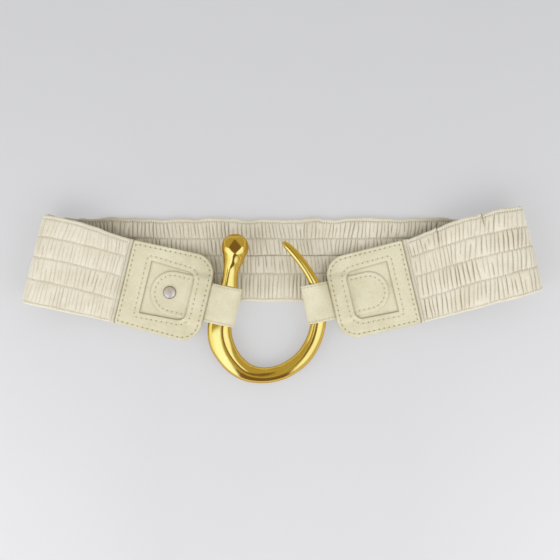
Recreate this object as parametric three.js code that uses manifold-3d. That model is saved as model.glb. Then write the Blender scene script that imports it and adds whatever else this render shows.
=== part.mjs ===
// Waist belt of gathered leather, closed by a hook buckle and lying flat as a folded loop.
// Millimetres. +X runs along the belt, +Y from the buckle towards the back band, +Z up.

import * as THREE from 'three';
import { mergeVertices } from 'three/addons/utils/BufferGeometryUtils.js';
import Module from 'manifold-3d';

const wasm = await Module();
wasm.setup();

// Clearances
const GAP = 0.3;
const LOOP_CLEARANCE = 0.5;
const LAYER_CLEARANCE = 0.7;

// Gathered band
const FOLDED_LENGTH = 370;
const BAND_WIDTH = 61.3;
const BAND_WALL = 2;
const GATHER_CREST = 1.2;
const GATHER_PITCH = 6;
const FOLD_HEIGHTS = { high: 0.82, low: 0.12, unevenness: 0.18 };
const FOLD_DRIFT = { along: 1.7, across: 2.3 };
const TOP_HEM = 2.7;
const BOTTOM_HEM = 1.8;
const HEM_THINNING = 0.35;
const EDGE_WAVE = 0.6;
const EDGE_WAVE_LENGTH = 31;
const TAIL_WALL = 1.2;
const TAIL_STRIP = 4;
const BACK_FROM_BUCKLE = 86.4;
const PRESSED_FROM = 0.6;

// Tabs: leather layers at the two ends of the band
const FRAME_WALL = 1.2;
const BASE_FLOOR = 1.2;
const REBATE_LENGTH = 8.5;
const CORNER_RADIUS = 15;
const WINDOW_RADIUS = 6;
const BRIDGE_RAMP = 2;

// Straps that run out of the tabs and round the buckle
const STRAP_WALL = 1.2;
const STRAP_TUCK = 12;
const TONGUE_OVERLAP = 6;
const LOOP_EVENNESS = 0.85;

// Snap cap on the left tongue
const CAP_DIAMETER = 9.6;
const CAP_HEIGHT = 1.8;
const CAP_PROFILE = [
  { out: 0, up: 0 },
  { out: 1, up: 0 },
  { out: 1, up: 0.39 },
  { out: 0.86, up: 0.74 },
  { out: 0.55, up: 0.93 },
  { out: 0, up: 1 },
];

// Hook buckle
const BUCKLE_SPREAD = 74;
const BUCKLE_REACH = 96;
const BUCKLE_THICKNESS = 18;
const BALL_DIAMETER = 19.8;
const BALL_POLE_ANGLE = -78;
const BALL_JOIN = 0.75;
const BUCKLE_OFFSET = -13.7;

// The two ends of the belt: lengths in millimetres, angles in degrees.
// fall: slope of the front half in plan; bendShift: middle of the side bend beyond the back's middle line;
// topSwell: how far the top edge stands out halfway along the front; armPlace: distance up the buckle's arm to
// its strap; strapNeck: bare strap between tab and arm
const SIDES = {
  left: {
    sign: -1, fall: 13.6, bendLean: 13, bendHeight: 24.5, bendShift: 0.5, bendWidth: 66.5, topSwell: 2,
    tabLength: 63.8, seamWidth: 63.6, endWidth: 66,
    windowStart: 16.7, windowLength: 34, windowWidth: 39.5, windowEndWidth: 36.6,
    tongueLength: 29.2, tongueWidth: 32.6, strapWidth: 28, strapShift: 0, capPlace: 35.2,
    armPlace: 52.4, strapNeck: 4.4, loopLoose: 0,
  },
  right: {
    sign: 1, fall: 13.4, bendLean: 14.4, bendHeight: 27, bendShift: 8.2, bendWidth: 63.5, topSwell: 3.2,
    tabLength: 60.8, seamWidth: 63.3, endWidth: 62.2,
    windowStart: 14.6, windowLength: 32.2, windowWidth: 38.2, windowEndWidth: 36.2,
    tongueLength: 28.4, tongueWidth: 29.8, strapWidth: 30.6, strapShift: -1.5, capPlace: 0,
    armPlace: 54, strapNeck: 3.5, loopLoose: 0.5,
  },
};

// Buckle centre line from the neck under the ball to the tip of the horn.
// across: share of the spread, along: share of the reach, thick: share of the thickness, flat: height over width
const BUCKLE_SECTIONS = [
  { across: -0.306, along: 0.895, thick: 0.8, flat: 1.0 },
  { across: -0.319, along: 0.86, thick: 0.67, flat: 1.0 },
  { across: -0.329, along: 0.82, thick: 0.61, flat: 1.0 },
  { across: -0.338, along: 0.77, thick: 0.605, flat: 0.97 },
  { across: -0.35, along: 0.7, thick: 0.66, flat: 0.88 },
  { across: -0.376, along: 0.59, thick: 0.79, flat: 0.78 },
  { across: -0.416, along: 0.473, thick: 0.905, flat: 0.72 },
  { across: -0.446, along: 0.372, thick: 0.98, flat: 0.7 },
  { across: -0.43, along: 0.262, thick: 1.0, flat: 0.7 },
  { across: -0.358, along: 0.149, thick: 0.91, flat: 0.74 },
  { across: -0.271, along: 0.073, thick: 0.84, flat: 0.76 },
  { across: -0.157, along: 0.019, thick: 0.735, flat: 0.8 },
  { across: 0, along: 0, thick: 0.65, flat: 0.86 },
  { across: 0.165, along: 0.024, thick: 0.64, flat: 0.86 },
  { across: 0.293, along: 0.077, thick: 0.645, flat: 0.86 },
  { across: 0.395, along: 0.145, thick: 0.645, flat: 0.86 },
  { across: 0.464, along: 0.224, thick: 0.64, flat: 0.86 },
  { across: 0.512, along: 0.307, thick: 0.635, flat: 0.86 },
  { across: 0.546, along: 0.423, thick: 0.625, flat: 0.86 },
  { across: 0.553, along: 0.536, thick: 0.57, flat: 0.88 },
  { across: 0.534, along: 0.645, thick: 0.465, flat: 0.92 },
  { across: 0.494, along: 0.736, thick: 0.395, flat: 0.95 },
  { across: 0.432, along: 0.822, thick: 0.365, flat: 1.0 },
  { across: 0.352, along: 0.909, thick: 0.355, flat: 1.0 },
  { across: 0.279, along: 0.974, thick: 0.325, flat: 1.0 },
  { across: 0.224, along: 1.017, thick: 0.265, flat: 1.0 },
  { across: 0.204, along: 1.031, thick: 0.185, flat: 1.0 },
];
const BALL_PLACE = { across: -0.286, along: 1 };

// Band from a tab's seam out to the side bend.
// out: share of the way to the bend, rise: share of the bend's height, turn: share of the turn from tab to bend,
// flare: share of the extra width, swell: share of the top edge's swell,
// line1 to line3: stitch lines as shares of the width from the top edge
const FRONT_STATIONS = [
  { out: 0.16, rise: 0.08, turn: 0.1, flare: 0.1, swell: 0.25, line1: 0.215, line2: 0.45, line3: 0.725 },
  { out: 0.38, rise: 0.44, turn: 0.4, flare: 0.35, swell: 0.8, line1: 0.225, line2: 0.46, line3: 0.72 },
  { out: 0.62, rise: 0.82, turn: 0.7, flare: 0.65, swell: 1.0, line1: 0.235, line2: 0.465, line3: 0.72 },
  { out: 0.82, rise: 0.99, turn: 0.9, flare: 0.9, swell: 0.6, line1: 0.24, line2: 0.47, line3: 0.72 },
  { out: 0.94, rise: 0.93, turn: 1.0, flare: 1.0, swell: 0.15, line1: 0.245, line2: 0.475, line3: 0.72 },
];
const BEND_STATION = { rise: 0.53, line1: 0.245, line2: 0.475, line3: 0.72 };
const SEAM_LINES = { line1: 0.21, line2: 0.45, line3: 0.725 };

// Band from the side bend back to the middle of the belt, out as a share of the half length
const BACK_STATIONS = [
  { out: 0.975, rise: 0.17, turn: 0.7, flare: 0.75, line1: 0.245, line2: 0.465, line3: 0.705 },
  { out: 0.93, rise: 0.03, turn: 0.35, flare: 0.4, line1: 0.245, line2: 0.455, line3: 0.69 },
  { out: 0.85, rise: 0, turn: 0.1, flare: 0.1, line1: 0.246, line2: 0.451, line3: 0.675 },
  { out: 0.45, rise: 0, turn: 0, flare: 0, line1: 0.246, line2: 0.451, line3: 0.674 },
];
const MIDDLE_LINES = { line1: 0.246, line2: 0.451, line3: 0.674 };

// Facets
const BUCKLE_SIDES = 12;
const BUCKLE_STEPS = 46;
const BALL_STEPS = 5;
const LOOP_STEPS = 14;
const LOOP_SLICES = 4;
const CURVE_SEGMENTS = 7;
const CAP_SEGMENTS = 18;
const SPINE_DIVISIONS = 900;

// Levels of the stacked layers above the surface that the belt lies on
const BACK_LEVEL = BAND_WALL / 2 + GATHER_CREST;
const BACK_TOP = BACK_LEVEL + BAND_WALL / 2 + GATHER_CREST;
const UNDER_LOW = BACK_TOP + LAYER_CLEARANCE;
const UNDER_MIDDLE = UNDER_LOW + STRAP_WALL / 2;
const BASE_LOW = UNDER_LOW + STRAP_WALL + GAP;
const TAIL_LOW = BASE_LOW + BASE_FLOOR + GAP;
const TAIL_MIDDLE = TAIL_LOW + TAIL_WALL / 2;
const BASE_TOP = TAIL_LOW + TAIL_WALL;
const FRAME_LOW = BASE_TOP + GAP;
const FRAME_TOP = FRAME_LOW + FRAME_WALL;
const TONGUE_LOW = BASE_TOP + GAP;
const TONGUE_MIDDLE = TONGUE_LOW + STRAP_WALL / 2;
const TONGUE_TOP = TONGUE_LOW + STRAP_WALL;
const BRIDGE_LOW = TONGUE_TOP + GAP;

const { degToRad, lerp, smoothstep } = THREE.MathUtils;

const leather = () => new THREE.MeshStandardMaterial({ color: 0xdad1b3, roughness: 0.62, metalness: 0 });
const gatheredLeather = () => new THREE.MeshStandardMaterial({ color: 0xdcd3bb, roughness: 0.7, metalness: 0 });
const gold = () => new THREE.MeshStandardMaterial({ color: 0xc89a3c, roughness: 0.22, metalness: 1 });
const steel = () => new THREE.MeshStandardMaterial({ color: 0xc4bfba, roughness: 0.3, metalness: 1 });

// Mesh helpers

function signedVolume(points, faces) {
  let volume = 0;
  for (const [a, b, c] of faces) {
    volume += points[a].dot(new THREE.Vector3().crossVectors(points[b], points[c]));
  }
  return volume / 6;
}

function closedGeometry(points, faces) {
  const outward = signedVolume(points, faces) > 0;
  const geometry = new THREE.BufferGeometry();
  geometry.setFromPoints(points);
  geometry.setIndex(faces.flatMap(([a, b, c]) => (outward ? [a, b, c] : [a, c, b])));
  return geometry;
}

function toSolid(geometry) {
  const bare = geometry.clone();
  bare.deleteAttribute('normal');
  bare.deleteAttribute('uv');
  const merged = mergeVertices(bare, 1e-4);
  return new wasm.Manifold(new wasm.Mesh({
    numProp: 3,
    vertProperties: new Float32Array(merged.attributes.position.array),
    triVerts: new Uint32Array(merged.index.array),
  }));
}

function toGeometry(solid) {
  const mesh = solid.getMesh();
  const geometry = new THREE.BufferGeometry();
  geometry.setAttribute('position', new THREE.BufferAttribute(mesh.vertProperties, 3));
  geometry.setIndex(new THREE.BufferAttribute(mesh.triVerts, 1));
  return geometry;
}

function plate(shape, low, wall) {
  const options = { depth: wall, bevelEnabled: false, curveSegments: CURVE_SEGMENTS };
  return new THREE.ExtrudeGeometry(shape, options).translate(0, 0, low);
}

function block(fromX, toX, fromY, toY, fromZ, toZ) {
  const box = new THREE.BoxGeometry(toX - fromX, toY - fromY, toZ - fromZ);
  return box.translate((fromX + toX) / 2, (fromY + toY) / 2, (fromZ + toZ) / 2);
}

// Triangles that fill a closed outline, wound the way the outline runs
function fill(outline) {
  const way = Math.sign(THREE.ShapeUtils.area(outline));
  return THREE.ShapeUtils.triangulateShape(outline, []).map(([a, b, c]) => {
    const turn = Math.sign(THREE.ShapeUtils.area([outline[a], outline[b], outline[c]]));
    return turn === way ? [a, b, c] : [a, c, b];
  });
}

// Rings of points joined into a closed body, each end closed by its own triangles
function loft(rings, firstCap, lastCap) {
  const count = rings[0].length;
  const points = rings.flat();
  const faces = [];
  for (let ring = 0; ring + 1 < rings.length; ring += 1) {
    for (let i = 0; i < count; i += 1) {
      const a = ring * count + i;
      const b = ring * count + (i + 1) % count;
      faces.push([a, b, b + count]);
      faces.push([a, b + count, a + count]);
    }
  }
  const last = (rings.length - 1) * count;
  faces.push(...firstCap.map(([a, b, c]) => [a, c, b]));
  faces.push(...lastCap.map(([a, b, c]) => [last + a, last + b, last + c]));
  return closedGeometry(points, faces);
}

// Hook buckle

const buckleCurve = new THREE.CatmullRomCurve3(
  BUCKLE_SECTIONS.map((row) => new THREE.Vector3(row.across * BUCKLE_SPREAD, row.along * BUCKLE_REACH, 0)),
);

function flatBuckleSection(place) {
  const row = Math.min(Math.floor(place), BUCKLE_SECTIONS.length - 2);
  const share = place - row;
  const from = BUCKLE_SECTIONS[row];
  const to = BUCKLE_SECTIONS[row + 1];
  const at = place / (BUCKLE_SECTIONS.length - 1);
  const width = lerp(from.thick, to.thick, share) * BUCKLE_THICKNESS;
  return {
    centre: buckleCurve.getPoint(at),
    along: buckleCurve.getTangent(at),
    width,
    height: width * lerp(from.flat, to.flat, share),
  };
}

const flatSections = [];
for (let step = 0; step <= BUCKLE_STEPS; step += 1) {
  const at = buckleCurve.getUtoTmapping(step / BUCKLE_STEPS);
  flatSections.push({ ...flatBuckleSection(at * (BUCKLE_SECTIONS.length - 1)), place: at });
}
const footPlace = BUCKLE_SECTIONS.findIndex((row) => row.along === 0) / (BUCKLE_SECTIONS.length - 1);

function armSections(side) {
  return flatSections.filter((section) => (side.sign < 0) === (section.place < footPlace));
}

function armCrossing(sections, measure, target) {
  for (let i = 0; i + 1 < sections.length; i += 1) {
    const from = measure(sections[i].centre) - target;
    const to = measure(sections[i + 1].centre) - target;
    if (from * to <= 0 && from !== to) {
      const share = from / (from - to);
      return {
        centre: sections[i].centre.clone().lerp(sections[i + 1].centre, share),
        width: lerp(sections[i].width, sections[i + 1].width, share),
        height: lerp(sections[i].height, sections[i + 1].height, share),
      };
    }
  }
  throw new Error('the arm of the buckle does not reach the strap');
}

// The foot of the U rests on the surface and the left arm on its strap above the band
function buckleFootLevel(tilt) {
  const lows = flatSections.map((section) => (
    section.centre.y * Math.sin(tilt) - section.height / 2
  ));
  return -Math.min(...lows);
}

function buckleTilt() {
  const arm = armCrossing(armSections(SIDES.left), (point) => point.y, SIDES.left.armPlace);
  const level = UNDER_MIDDLE + STRAP_WALL / 2 + LOOP_CLEARANCE + arm.height / 2;
  let tilt = 0;
  for (let pass = 0; pass < 4; pass += 1) {
    tilt = Math.asin((level - buckleFootLevel(tilt)) / SIDES.left.armPlace);
  }
  return tilt;
}

const BUCKLE_TILT = buckleTilt();
const buckleMatrix = new THREE.Matrix4()
  .makeRotationX(BUCKLE_TILT)
  .setPosition(BUCKLE_OFFSET, 0, buckleFootLevel(BUCKLE_TILT));

function buckleRing(section) {
  const sideways = new THREE.Vector3(section.along.y, -section.along.x, 0).normalize();
  const ring = [];
  for (let i = 0; i < BUCKLE_SIDES; i += 1) {
    const angle = (i / BUCKLE_SIDES) * 2 * Math.PI;
    const point = section.centre.clone();
    point.addScaledVector(sideways, Math.cos(angle) * section.width / 2);
    point.z += Math.sin(angle) * section.height / 2;
    ring.push(point);
  }
  return ring;
}

// Sections of the ball from its pole down to where it meets the neck
function ballSections() {
  const radius = BALL_DIAMETER / 2;
  const middle = new THREE.Vector3(BALL_PLACE.across * BUCKLE_SPREAD, BALL_PLACE.along * BUCKLE_REACH, 0);
  const neck = flatSections[0];
  const along = neck.centre.clone().sub(middle).normalize();
  const neckAngle = Math.acos(Math.min(neck.width / BALL_DIAMETER, 1));
  const sections = [];
  for (let step = 0; step <= BALL_STEPS; step += 1) {
    const angle = lerp(degToRad(BALL_POLE_ANGLE), neckAngle * BALL_JOIN, step / BALL_STEPS);
    const size = 2 * radius * Math.cos(angle);
    sections.push({
      centre: middle.clone().addScaledVector(along, radius * Math.sin(angle)),
      along,
      width: size,
      height: size,
    });
  }
  return sections;
}

function hookBuckle() {
  const rings = [...ballSections(), ...flatSections].map(buckleRing);
  const fan = [];
  for (let i = 1; i + 1 < BUCKLE_SIDES; i += 1) {
    fan.push([0, i, i + 1]);
  }
  return loft(rings, fan, fan).applyMatrix4(buckleMatrix);
}

// Place of each tab: local x runs from the seam to the buckle, z is the level above the surface

function tabMatrix(side) {
  const arm = armCrossing(armSections(side), (point) => point.y, side.armPlace);
  const loop = arm.centre.applyMatrix4(buckleMatrix);
  const turn = side.sign < 0 ? degToRad(-side.fall) : Math.PI + degToRad(side.fall);
  const reach = side.tabLength + side.strapNeck + STRAP_WALL + LOOP_CLEARANCE + arm.width / 2;
  const seam = new THREE.Vector3(loop.x - Math.cos(turn) * reach, loop.y - Math.sin(turn) * reach, 0);
  return new THREE.Matrix4().makeRotationZ(turn).setPosition(seam);
}

for (const side of Object.values(SIDES)) {
  side.place = tabMatrix(side);
  side.windowEnd = side.windowStart + side.windowLength;
}

// Tab outline: square corners at the seam, round ones at the buckle
function tabOutline(side) {
  const halfSeam = side.seamWidth / 2;
  const halfEnd = side.endWidth / 2;
  const arcFrom = side.tabLength - CORNER_RADIUS;
  const outline = new THREE.Shape();
  outline.moveTo(0, -halfSeam);
  outline.lineTo(arcFrom, -halfEnd);
  outline.absarc(arcFrom, CORNER_RADIUS - halfEnd, CORNER_RADIUS, -Math.PI / 2, 0);
  outline.lineTo(side.tabLength, halfEnd - CORNER_RADIUS);
  outline.absarc(arcFrom, halfEnd - CORNER_RADIUS, CORNER_RADIUS, 0, Math.PI / 2);
  outline.lineTo(0, halfSeam);
  outline.closePath();
  return outline;
}

function windowOutline(side) {
  const halfStart = side.windowWidth / 2;
  const halfEnd = side.windowEndWidth / 2;
  const arcFrom = side.windowEnd - WINDOW_RADIUS;
  const outline = new THREE.Shape();
  outline.moveTo(side.windowStart, -halfStart);
  outline.lineTo(arcFrom, -halfEnd);
  outline.absarc(arcFrom, WINDOW_RADIUS - halfEnd, WINDOW_RADIUS, -Math.PI / 2, 0);
  outline.lineTo(side.windowEnd, halfEnd - WINDOW_RADIUS);
  outline.absarc(arcFrom, halfEnd - WINDOW_RADIUS, WINDOW_RADIUS, 0, Math.PI / 2);
  outline.lineTo(side.windowStart, halfStart);
  outline.closePath();
  return outline;
}

// Half width of the raised part of the frame, over the strap and its tongue
function bridgeHalf(side) {
  return Math.max(side.strapWidth / 2 + Math.abs(side.strapShift), side.tongueWidth / 2) + GAP;
}

// Bridge of the frame over the strap: a raised strip with a ramp at each side
function bridgeOutline(side) {
  const flat = bridgeHalf(side);
  const foot = flat + BRIDGE_RAMP;
  const outline = new THREE.Shape();
  outline.moveTo(-foot - BRIDGE_RAMP, FRAME_LOW);
  outline.lineTo(-foot, FRAME_LOW);
  outline.lineTo(-flat, BRIDGE_LOW);
  outline.lineTo(flat, BRIDGE_LOW);
  outline.lineTo(foot, FRAME_LOW);
  outline.lineTo(foot + BRIDGE_RAMP, FRAME_LOW);
  outline.lineTo(foot + BRIDGE_RAMP, FRAME_TOP);
  outline.lineTo(foot, FRAME_TOP);
  outline.lineTo(flat, BRIDGE_LOW + FRAME_WALL);
  outline.lineTo(-flat, BRIDGE_LOW + FRAME_WALL);
  outline.lineTo(-foot, FRAME_TOP);
  outline.lineTo(-foot - BRIDGE_RAMP, FRAME_TOP);
  outline.closePath();
  return outline;
}

function tabFrame(side) {
  const high = BRIDGE_LOW + 2 * FRAME_WALL;
  const windowCut = toSolid(plate(windowOutline(side), BASE_TOP, high));
  const footprint = toSolid(plate(tabOutline(side), BASE_TOP, high));
  const corridor = bridgeHalf(side) + BRIDGE_RAMP;
  const bridgeFrom = side.windowEnd - WINDOW_RADIUS;
  const notch = toSolid(block(bridgeFrom, side.tabLength + GAP, -corridor, corridor, BASE_TOP, high));
  const options = { depth: side.tabLength - bridgeFrom, bevelEnabled: false };
  const bridge = new THREE.ExtrudeGeometry(bridgeOutline(side), options);
  bridge.rotateX(Math.PI / 2).rotateZ(Math.PI / 2).translate(bridgeFrom, 0, 0);
  const flat = toSolid(plate(tabOutline(side), FRAME_LOW, FRAME_WALL)).subtract(notch);
  return toGeometry(flat.add(toSolid(bridge).intersect(footprint)).subtract(windowCut));
}

function tabBase(side) {
  const halfWidth = side.seamWidth / 2 + FRAME_WALL;
  const slab = toSolid(plate(tabOutline(side), BASE_LOW, BASE_TOP - BASE_LOW));
  const rebateLow = BASE_LOW + BASE_FLOOR;
  const rebate = toSolid(block(-GAP, REBATE_LENGTH, -halfWidth, halfWidth, rebateLow, FRAME_TOP));
  return toGeometry(slab.subtract(rebate));
}

// Strap: a round-ended tongue on the tab, then a loop over and round the arm and back under the tab

function tongueOutline(side) {
  const half = side.tongueWidth / 2;
  const straightEnd = side.windowEnd - GAP;
  const arcAt = straightEnd - side.tongueLength + half;
  const outline = new THREE.Shape();
  outline.moveTo(straightEnd, -half);
  outline.lineTo(straightEnd, half);
  outline.lineTo(arcAt, half);
  outline.absarc(arcAt, 0, half, Math.PI / 2, Math.PI * 1.5);
  outline.closePath();
  return outline;
}

// Angle on an ellipse where a line from an outside point touches it, above or below the middle
function touchAngle(from, centre, halfX, halfZ, way) {
  const x = (from.x - centre.x) / halfX;
  const z = (from.y - centre.z) / halfZ;
  const opening = Math.acos(1 / Math.max(Math.hypot(x, z), 1));
  return (Math.atan2(z, x) + 2 * Math.PI) % (2 * Math.PI) + way * opening;
}

// The buckle's arm where it crosses one line along the strap, with room for half the strap's wall
function armCut(side, across) {
  const intoTab = side.place.clone().invert().multiply(buckleMatrix);
  const inTab = (point) => point.clone().applyMatrix4(intoTab);
  const arm = armCrossing(armSections(side), (point) => inTab(point).y, across);
  const room = LOOP_CLEARANCE + STRAP_WALL / 2;
  return { across, centre: inTab(arm.centre), halfX: arm.width / 2 + room, halfZ: arm.height / 2 + room };
}

function loopMiddleLine(side, cut, farthest) {
  const { centre, halfX, halfZ } = cut;
  const turnFrom = side.tabLength + STRAP_WALL / 2;
  const leaving = new THREE.Vector2(turnFrom, TONGUE_MIDDLE);
  const returning = new THREE.Vector2(turnFrom, UNDER_MIDDLE);
  const firstAngle = touchAngle(leaving, centre, halfX, halfZ, -1);
  const lastAngle = touchAngle(returning, centre, halfX, halfZ, 1) - 2 * Math.PI;
  const farHalf = lerp(halfX, farthest - centre.x, LOOP_EVENNESS);
  const line = [new THREE.Vector2(side.windowEnd - TONGUE_OVERLAP, TONGUE_MIDDLE), leaving];
  for (let step = 0; step <= LOOP_STEPS; step += 1) {
    const angle = lerp(firstAngle, lastAngle, step / LOOP_STEPS);
    const half = Math.cos(angle) > 0 ? farHalf : halfX;
    line.push(new THREE.Vector2(centre.x + half * Math.cos(angle), centre.z + halfZ * Math.sin(angle)));
  }
  line.push(returning);
  line.push(new THREE.Vector2(side.tabLength - STRAP_TUCK, UNDER_MIDDLE));
  return line;
}

// Both faces of a strap from its middle line
function thicken(line, wall) {
  const faces = [[], []];
  line.forEach((point, i) => {
    const before = point.clone().sub(line[Math.max(i - 1, 0)]);
    const after = line[Math.min(i + 1, line.length - 1)].clone().sub(point);
    if (i === 0) {
      before.copy(after);
    }
    if (i === line.length - 1) {
      after.copy(before);
    }
    const way = before.normalize().add(after.normalize()).normalize();
    const reach = wall / 2 / way.dot(after);
    faces[0].push(new THREE.Vector2(point.x - way.y * reach, point.y + way.x * reach));
    faces[1].push(new THREE.Vector2(point.x + way.y * reach, point.y - way.x * reach));
  });
  return [...faces[0], ...faces[1].reverse()];
}

function strap(side) {
  const cuts = [];
  for (let slice = 0; slice <= LOOP_SLICES; slice += 1) {
    cuts.push(armCut(side, side.strapShift + (slice / LOOP_SLICES - 0.5) * side.strapWidth));
  }
  const farthest = Math.max(...cuts.map((cut) => cut.centre.x + cut.halfX)) + side.loopLoose;
  const sections = cuts.map((cut) => thicken(loopMiddleLine(side, cut, farthest), STRAP_WALL));
  const rings = sections.map((section, i) => (
    section.map((point) => new THREE.Vector3(point.x, cuts[i].across, point.y))
  ));
  const loop = toSolid(loft(rings, fill(sections[0]), fill(sections[LOOP_SLICES])));
  const tongue = toSolid(plate(tongueOutline(side), TONGUE_LOW, STRAP_WALL));
  return toGeometry(loop.add(tongue));
}

function snapCap(side) {
  const radius = CAP_DIAMETER / 2;
  const low = TONGUE_TOP + GAP;
  const profile = CAP_PROFILE.map((row) => new THREE.Vector2(row.out * radius, low + row.up * CAP_HEIGHT));
  const cap = new THREE.LatheGeometry(profile, CAP_SEGMENTS);
  return cap.rotateX(Math.PI / 2).translate(side.capPlace, 0, 0);
}

// Gathered band

function seamPoint(side, beyond) {
  return new THREE.Vector3(-beyond, 0, TAIL_MIDDLE).applyMatrix4(side.place);
}

function sideStations(side) {
  const seam = seamPoint(side, 0);
  const strip = seamPoint(side, TAIL_STRIP);
  const halfLength = FOLDED_LENGTH / 2 - BAND_WALL / 2 - GATHER_CREST;
  const bend = new THREE.Vector3(side.sign * halfLength, BACK_FROM_BUCKLE + side.bendShift, 0);
  const tabLean = -side.sign * side.fall;
  const bendLean = -side.sign * side.bendLean;
  const tab = { lean: tabLean, width: side.seamWidth, pressed: 0, plain: 1, ...SEAM_LINES };
  const tail = seamPoint(side, GAP - REBATE_LENGTH);
  const rows = [
    { at: tail, ...tab },
    { at: seam, ...tab },
    { at: strip, ...tab },
  ];
  for (const row of FRONT_STATIONS) {
    const at = strip.clone().lerp(bend, row.out);
    const swell = side.topSwell * row.swell;
    at.y += swell / 2;
    at.z = lerp(TAIL_MIDDLE, side.bendHeight, row.rise);
    const lean = lerp(tabLean, bendLean, row.turn);
    const width = lerp(side.seamWidth, side.bendWidth, row.flare) + swell;
    rows.push({ ...row, at, lean, width, pressed: 0, plain: 0 });
  }
  const outermost = bend.clone().setZ(lerp(BACK_LEVEL, side.bendHeight, BEND_STATION.rise));
  rows.push({ ...BEND_STATION, at: outermost, lean: bendLean, width: side.bendWidth, pressed: 0, plain: 0 });
  for (const row of BACK_STATIONS) {
    const at = new THREE.Vector3(bend.x * row.out, lerp(BACK_FROM_BUCKLE, bend.y, row.turn), 0);
    at.z = lerp(BACK_LEVEL, side.bendHeight, row.rise);
    const width = lerp(BAND_WIDTH, side.bendWidth, row.flare);
    rows.push({ ...row, at, lean: bendLean * row.turn, width, pressed: row.rise > 0 ? 0 : 1, plain: 0 });
  }
  return rows;
}

const middleStation = {
  ...MIDDLE_LINES,
  at: new THREE.Vector3(0, BACK_FROM_BUCKLE, BACK_LEVEL),
  lean: 0,
  width: BAND_WIDTH,
  pressed: 1,
  plain: 0,
};
const stations = [...sideStations(SIDES.left), middleStation, ...sideStations(SIDES.right).reverse()];
const spine = new THREE.CatmullRomCurve3(stations.map((row) => row.at), false, 'centripetal');
spine.arcLengthDivisions = SPINE_DIVISIONS;

function stationAt(distance) {
  const t = spine.getUtoTmapping(0, distance);
  const place = t * (stations.length - 1);
  const row = Math.min(Math.floor(place), stations.length - 2);
  const share = place - row;
  const between = (name) => lerp(stations[row][name], stations[row + 1][name], share);
  const lean = degToRad(between('lean'));
  const across = new THREE.Vector3(Math.sin(lean), Math.cos(lean), 0);
  const inward = new THREE.Vector3().crossVectors(spine.getTangent(t), across).normalize();
  return {
    centre: spine.getPoint(t),
    across,
    inward,
    width: between('width'),
    pressed: smoothstep(between('pressed'), PRESSED_FROM, 1),
    plain: between('plain'),
    lines: [between('line1'), between('line2'), between('line3')],
  };
}

// Lines across the band as distances from its top edge: edges, stitch lines and the rows between them
function linesAcross(station) {
  const stitched = [TOP_HEM / station.width, ...station.lines, 1 - BOTTOM_HEM / station.width];
  const rows = [{ share: 0, kind: 'edge' }];
  stitched.forEach((share, i) => {
    rows.push({ share, kind: 'stitch' });
    if (i + 1 < stitched.length) {
      rows.push({ share: (share + stitched[i + 1]) / 2, kind: 'gather' });
    }
  });
  rows.push({ share: 1, kind: 'edge' });
  return rows;
}

// Share of the full crest at one station of one row: folds alternate and differ a little in height
function gatherHeight(index, row) {
  const isCrest = (index + Math.floor(row / 2)) % 2 === 1;
  const drift = FOLD_HEIGHTS.unevenness * Math.sin(index * FOLD_DRIFT.along + row * FOLD_DRIFT.across);
  return isCrest ? FOLD_HEIGHTS.high + drift : FOLD_HEIGHTS.low + drift / 2;
}

function bandRing(distance, index) {
  const station = stationAt(distance);
  const outer = [];
  const inner = [];
  linesAcross(station).forEach(({ share, kind }, row) => {
    const live = 1 - station.plain;
    const wave = kind === 'edge' ? EDGE_WAVE * live * Math.sin((distance / EDGE_WAVE_LENGTH) * 2 * Math.PI) : 0;
    const across = station.width * (0.5 - share) + wave * Math.sign(0.5 - share);
    const wall = lerp(BAND_WALL, TAIL_WALL, station.plain) - (kind === 'edge' ? HEM_THINNING * live : 0);
    const gathered = kind === 'gather' ? live * GATHER_CREST : 0;
    const outerRelief = lerp(gathered * gatherHeight(index, row), GATHER_CREST, station.pressed);
    const innerRelief = gathered * gatherHeight(index + 1, row);
    const outerWall = lerp(wall, BAND_WALL, station.pressed);
    const point = station.centre.clone().addScaledVector(station.across, across);
    const low = point.clone().addScaledVector(station.inward, -outerWall / 2 - outerRelief);
    outer.push(low.setZ(Math.max(low.z, 0)));
    inner.push(point.clone().addScaledVector(station.inward, wall / 2 + innerRelief));
  });
  return [...outer, ...inner.reverse()];
}

function ruchedBand() {
  const length = spine.getLength();
  const steps = 2 * Math.round(length / GATHER_PITCH);
  const rings = [];
  for (let index = 0; index <= steps; index += 1) {
    rings.push(bandRing((index / steps) * length, index));
  }
  const last = rings[0].length - 1;
  const cap = [];
  for (let row = 0; 2 * row + 1 < last; row += 1) {
    cap.push([row, row + 1, last - row]);
    cap.push([row + 1, last - row - 1, last - row]);
  }
  return loft(rings, cap, cap);
}

// Assembly: the whole belt is centred over its own outline

function addPiece(parent, name, geometry, material) {
  geometry.computeVertexNormals();
  const mesh = new THREE.Mesh(geometry, material);
  mesh.name = name;
  parent.add(mesh);
}

const belt = new THREE.Group();
addPiece(belt, 'ruched_band', ruchedBand(), gatheredLeather());
addPiece(belt, 'hook_buckle', hookBuckle(), gold());
for (const [name, side] of Object.entries(SIDES)) {
  const tab = new THREE.Group();
  tab.applyMatrix4(side.place);
  addPiece(tab, `${name}_tab_frame`, tabFrame(side), leather());
  addPiece(tab, `${name}_tab_base`, tabBase(side), leather());
  addPiece(tab, `${name}_strap`, strap(side), leather());
  if (side.capPlace > 0) {
    addPiece(tab, `${name}_snap_cap`, snapCap(side), steel());
  }
  belt.add(tab);
}

const box = new THREE.Box3().setFromObject(belt, true);
belt.position.set(-(box.min.x + box.max.x) / 2, -(box.min.y + box.max.y) / 2, -box.min.z);
belt.updateMatrixWorld(true);

export default belt;
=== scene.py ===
"""Looks of the waist belt: gathered leather band, stitched tabs and straps, hook buckle and snap cap."""

import math
from types import SimpleNamespace

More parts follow.
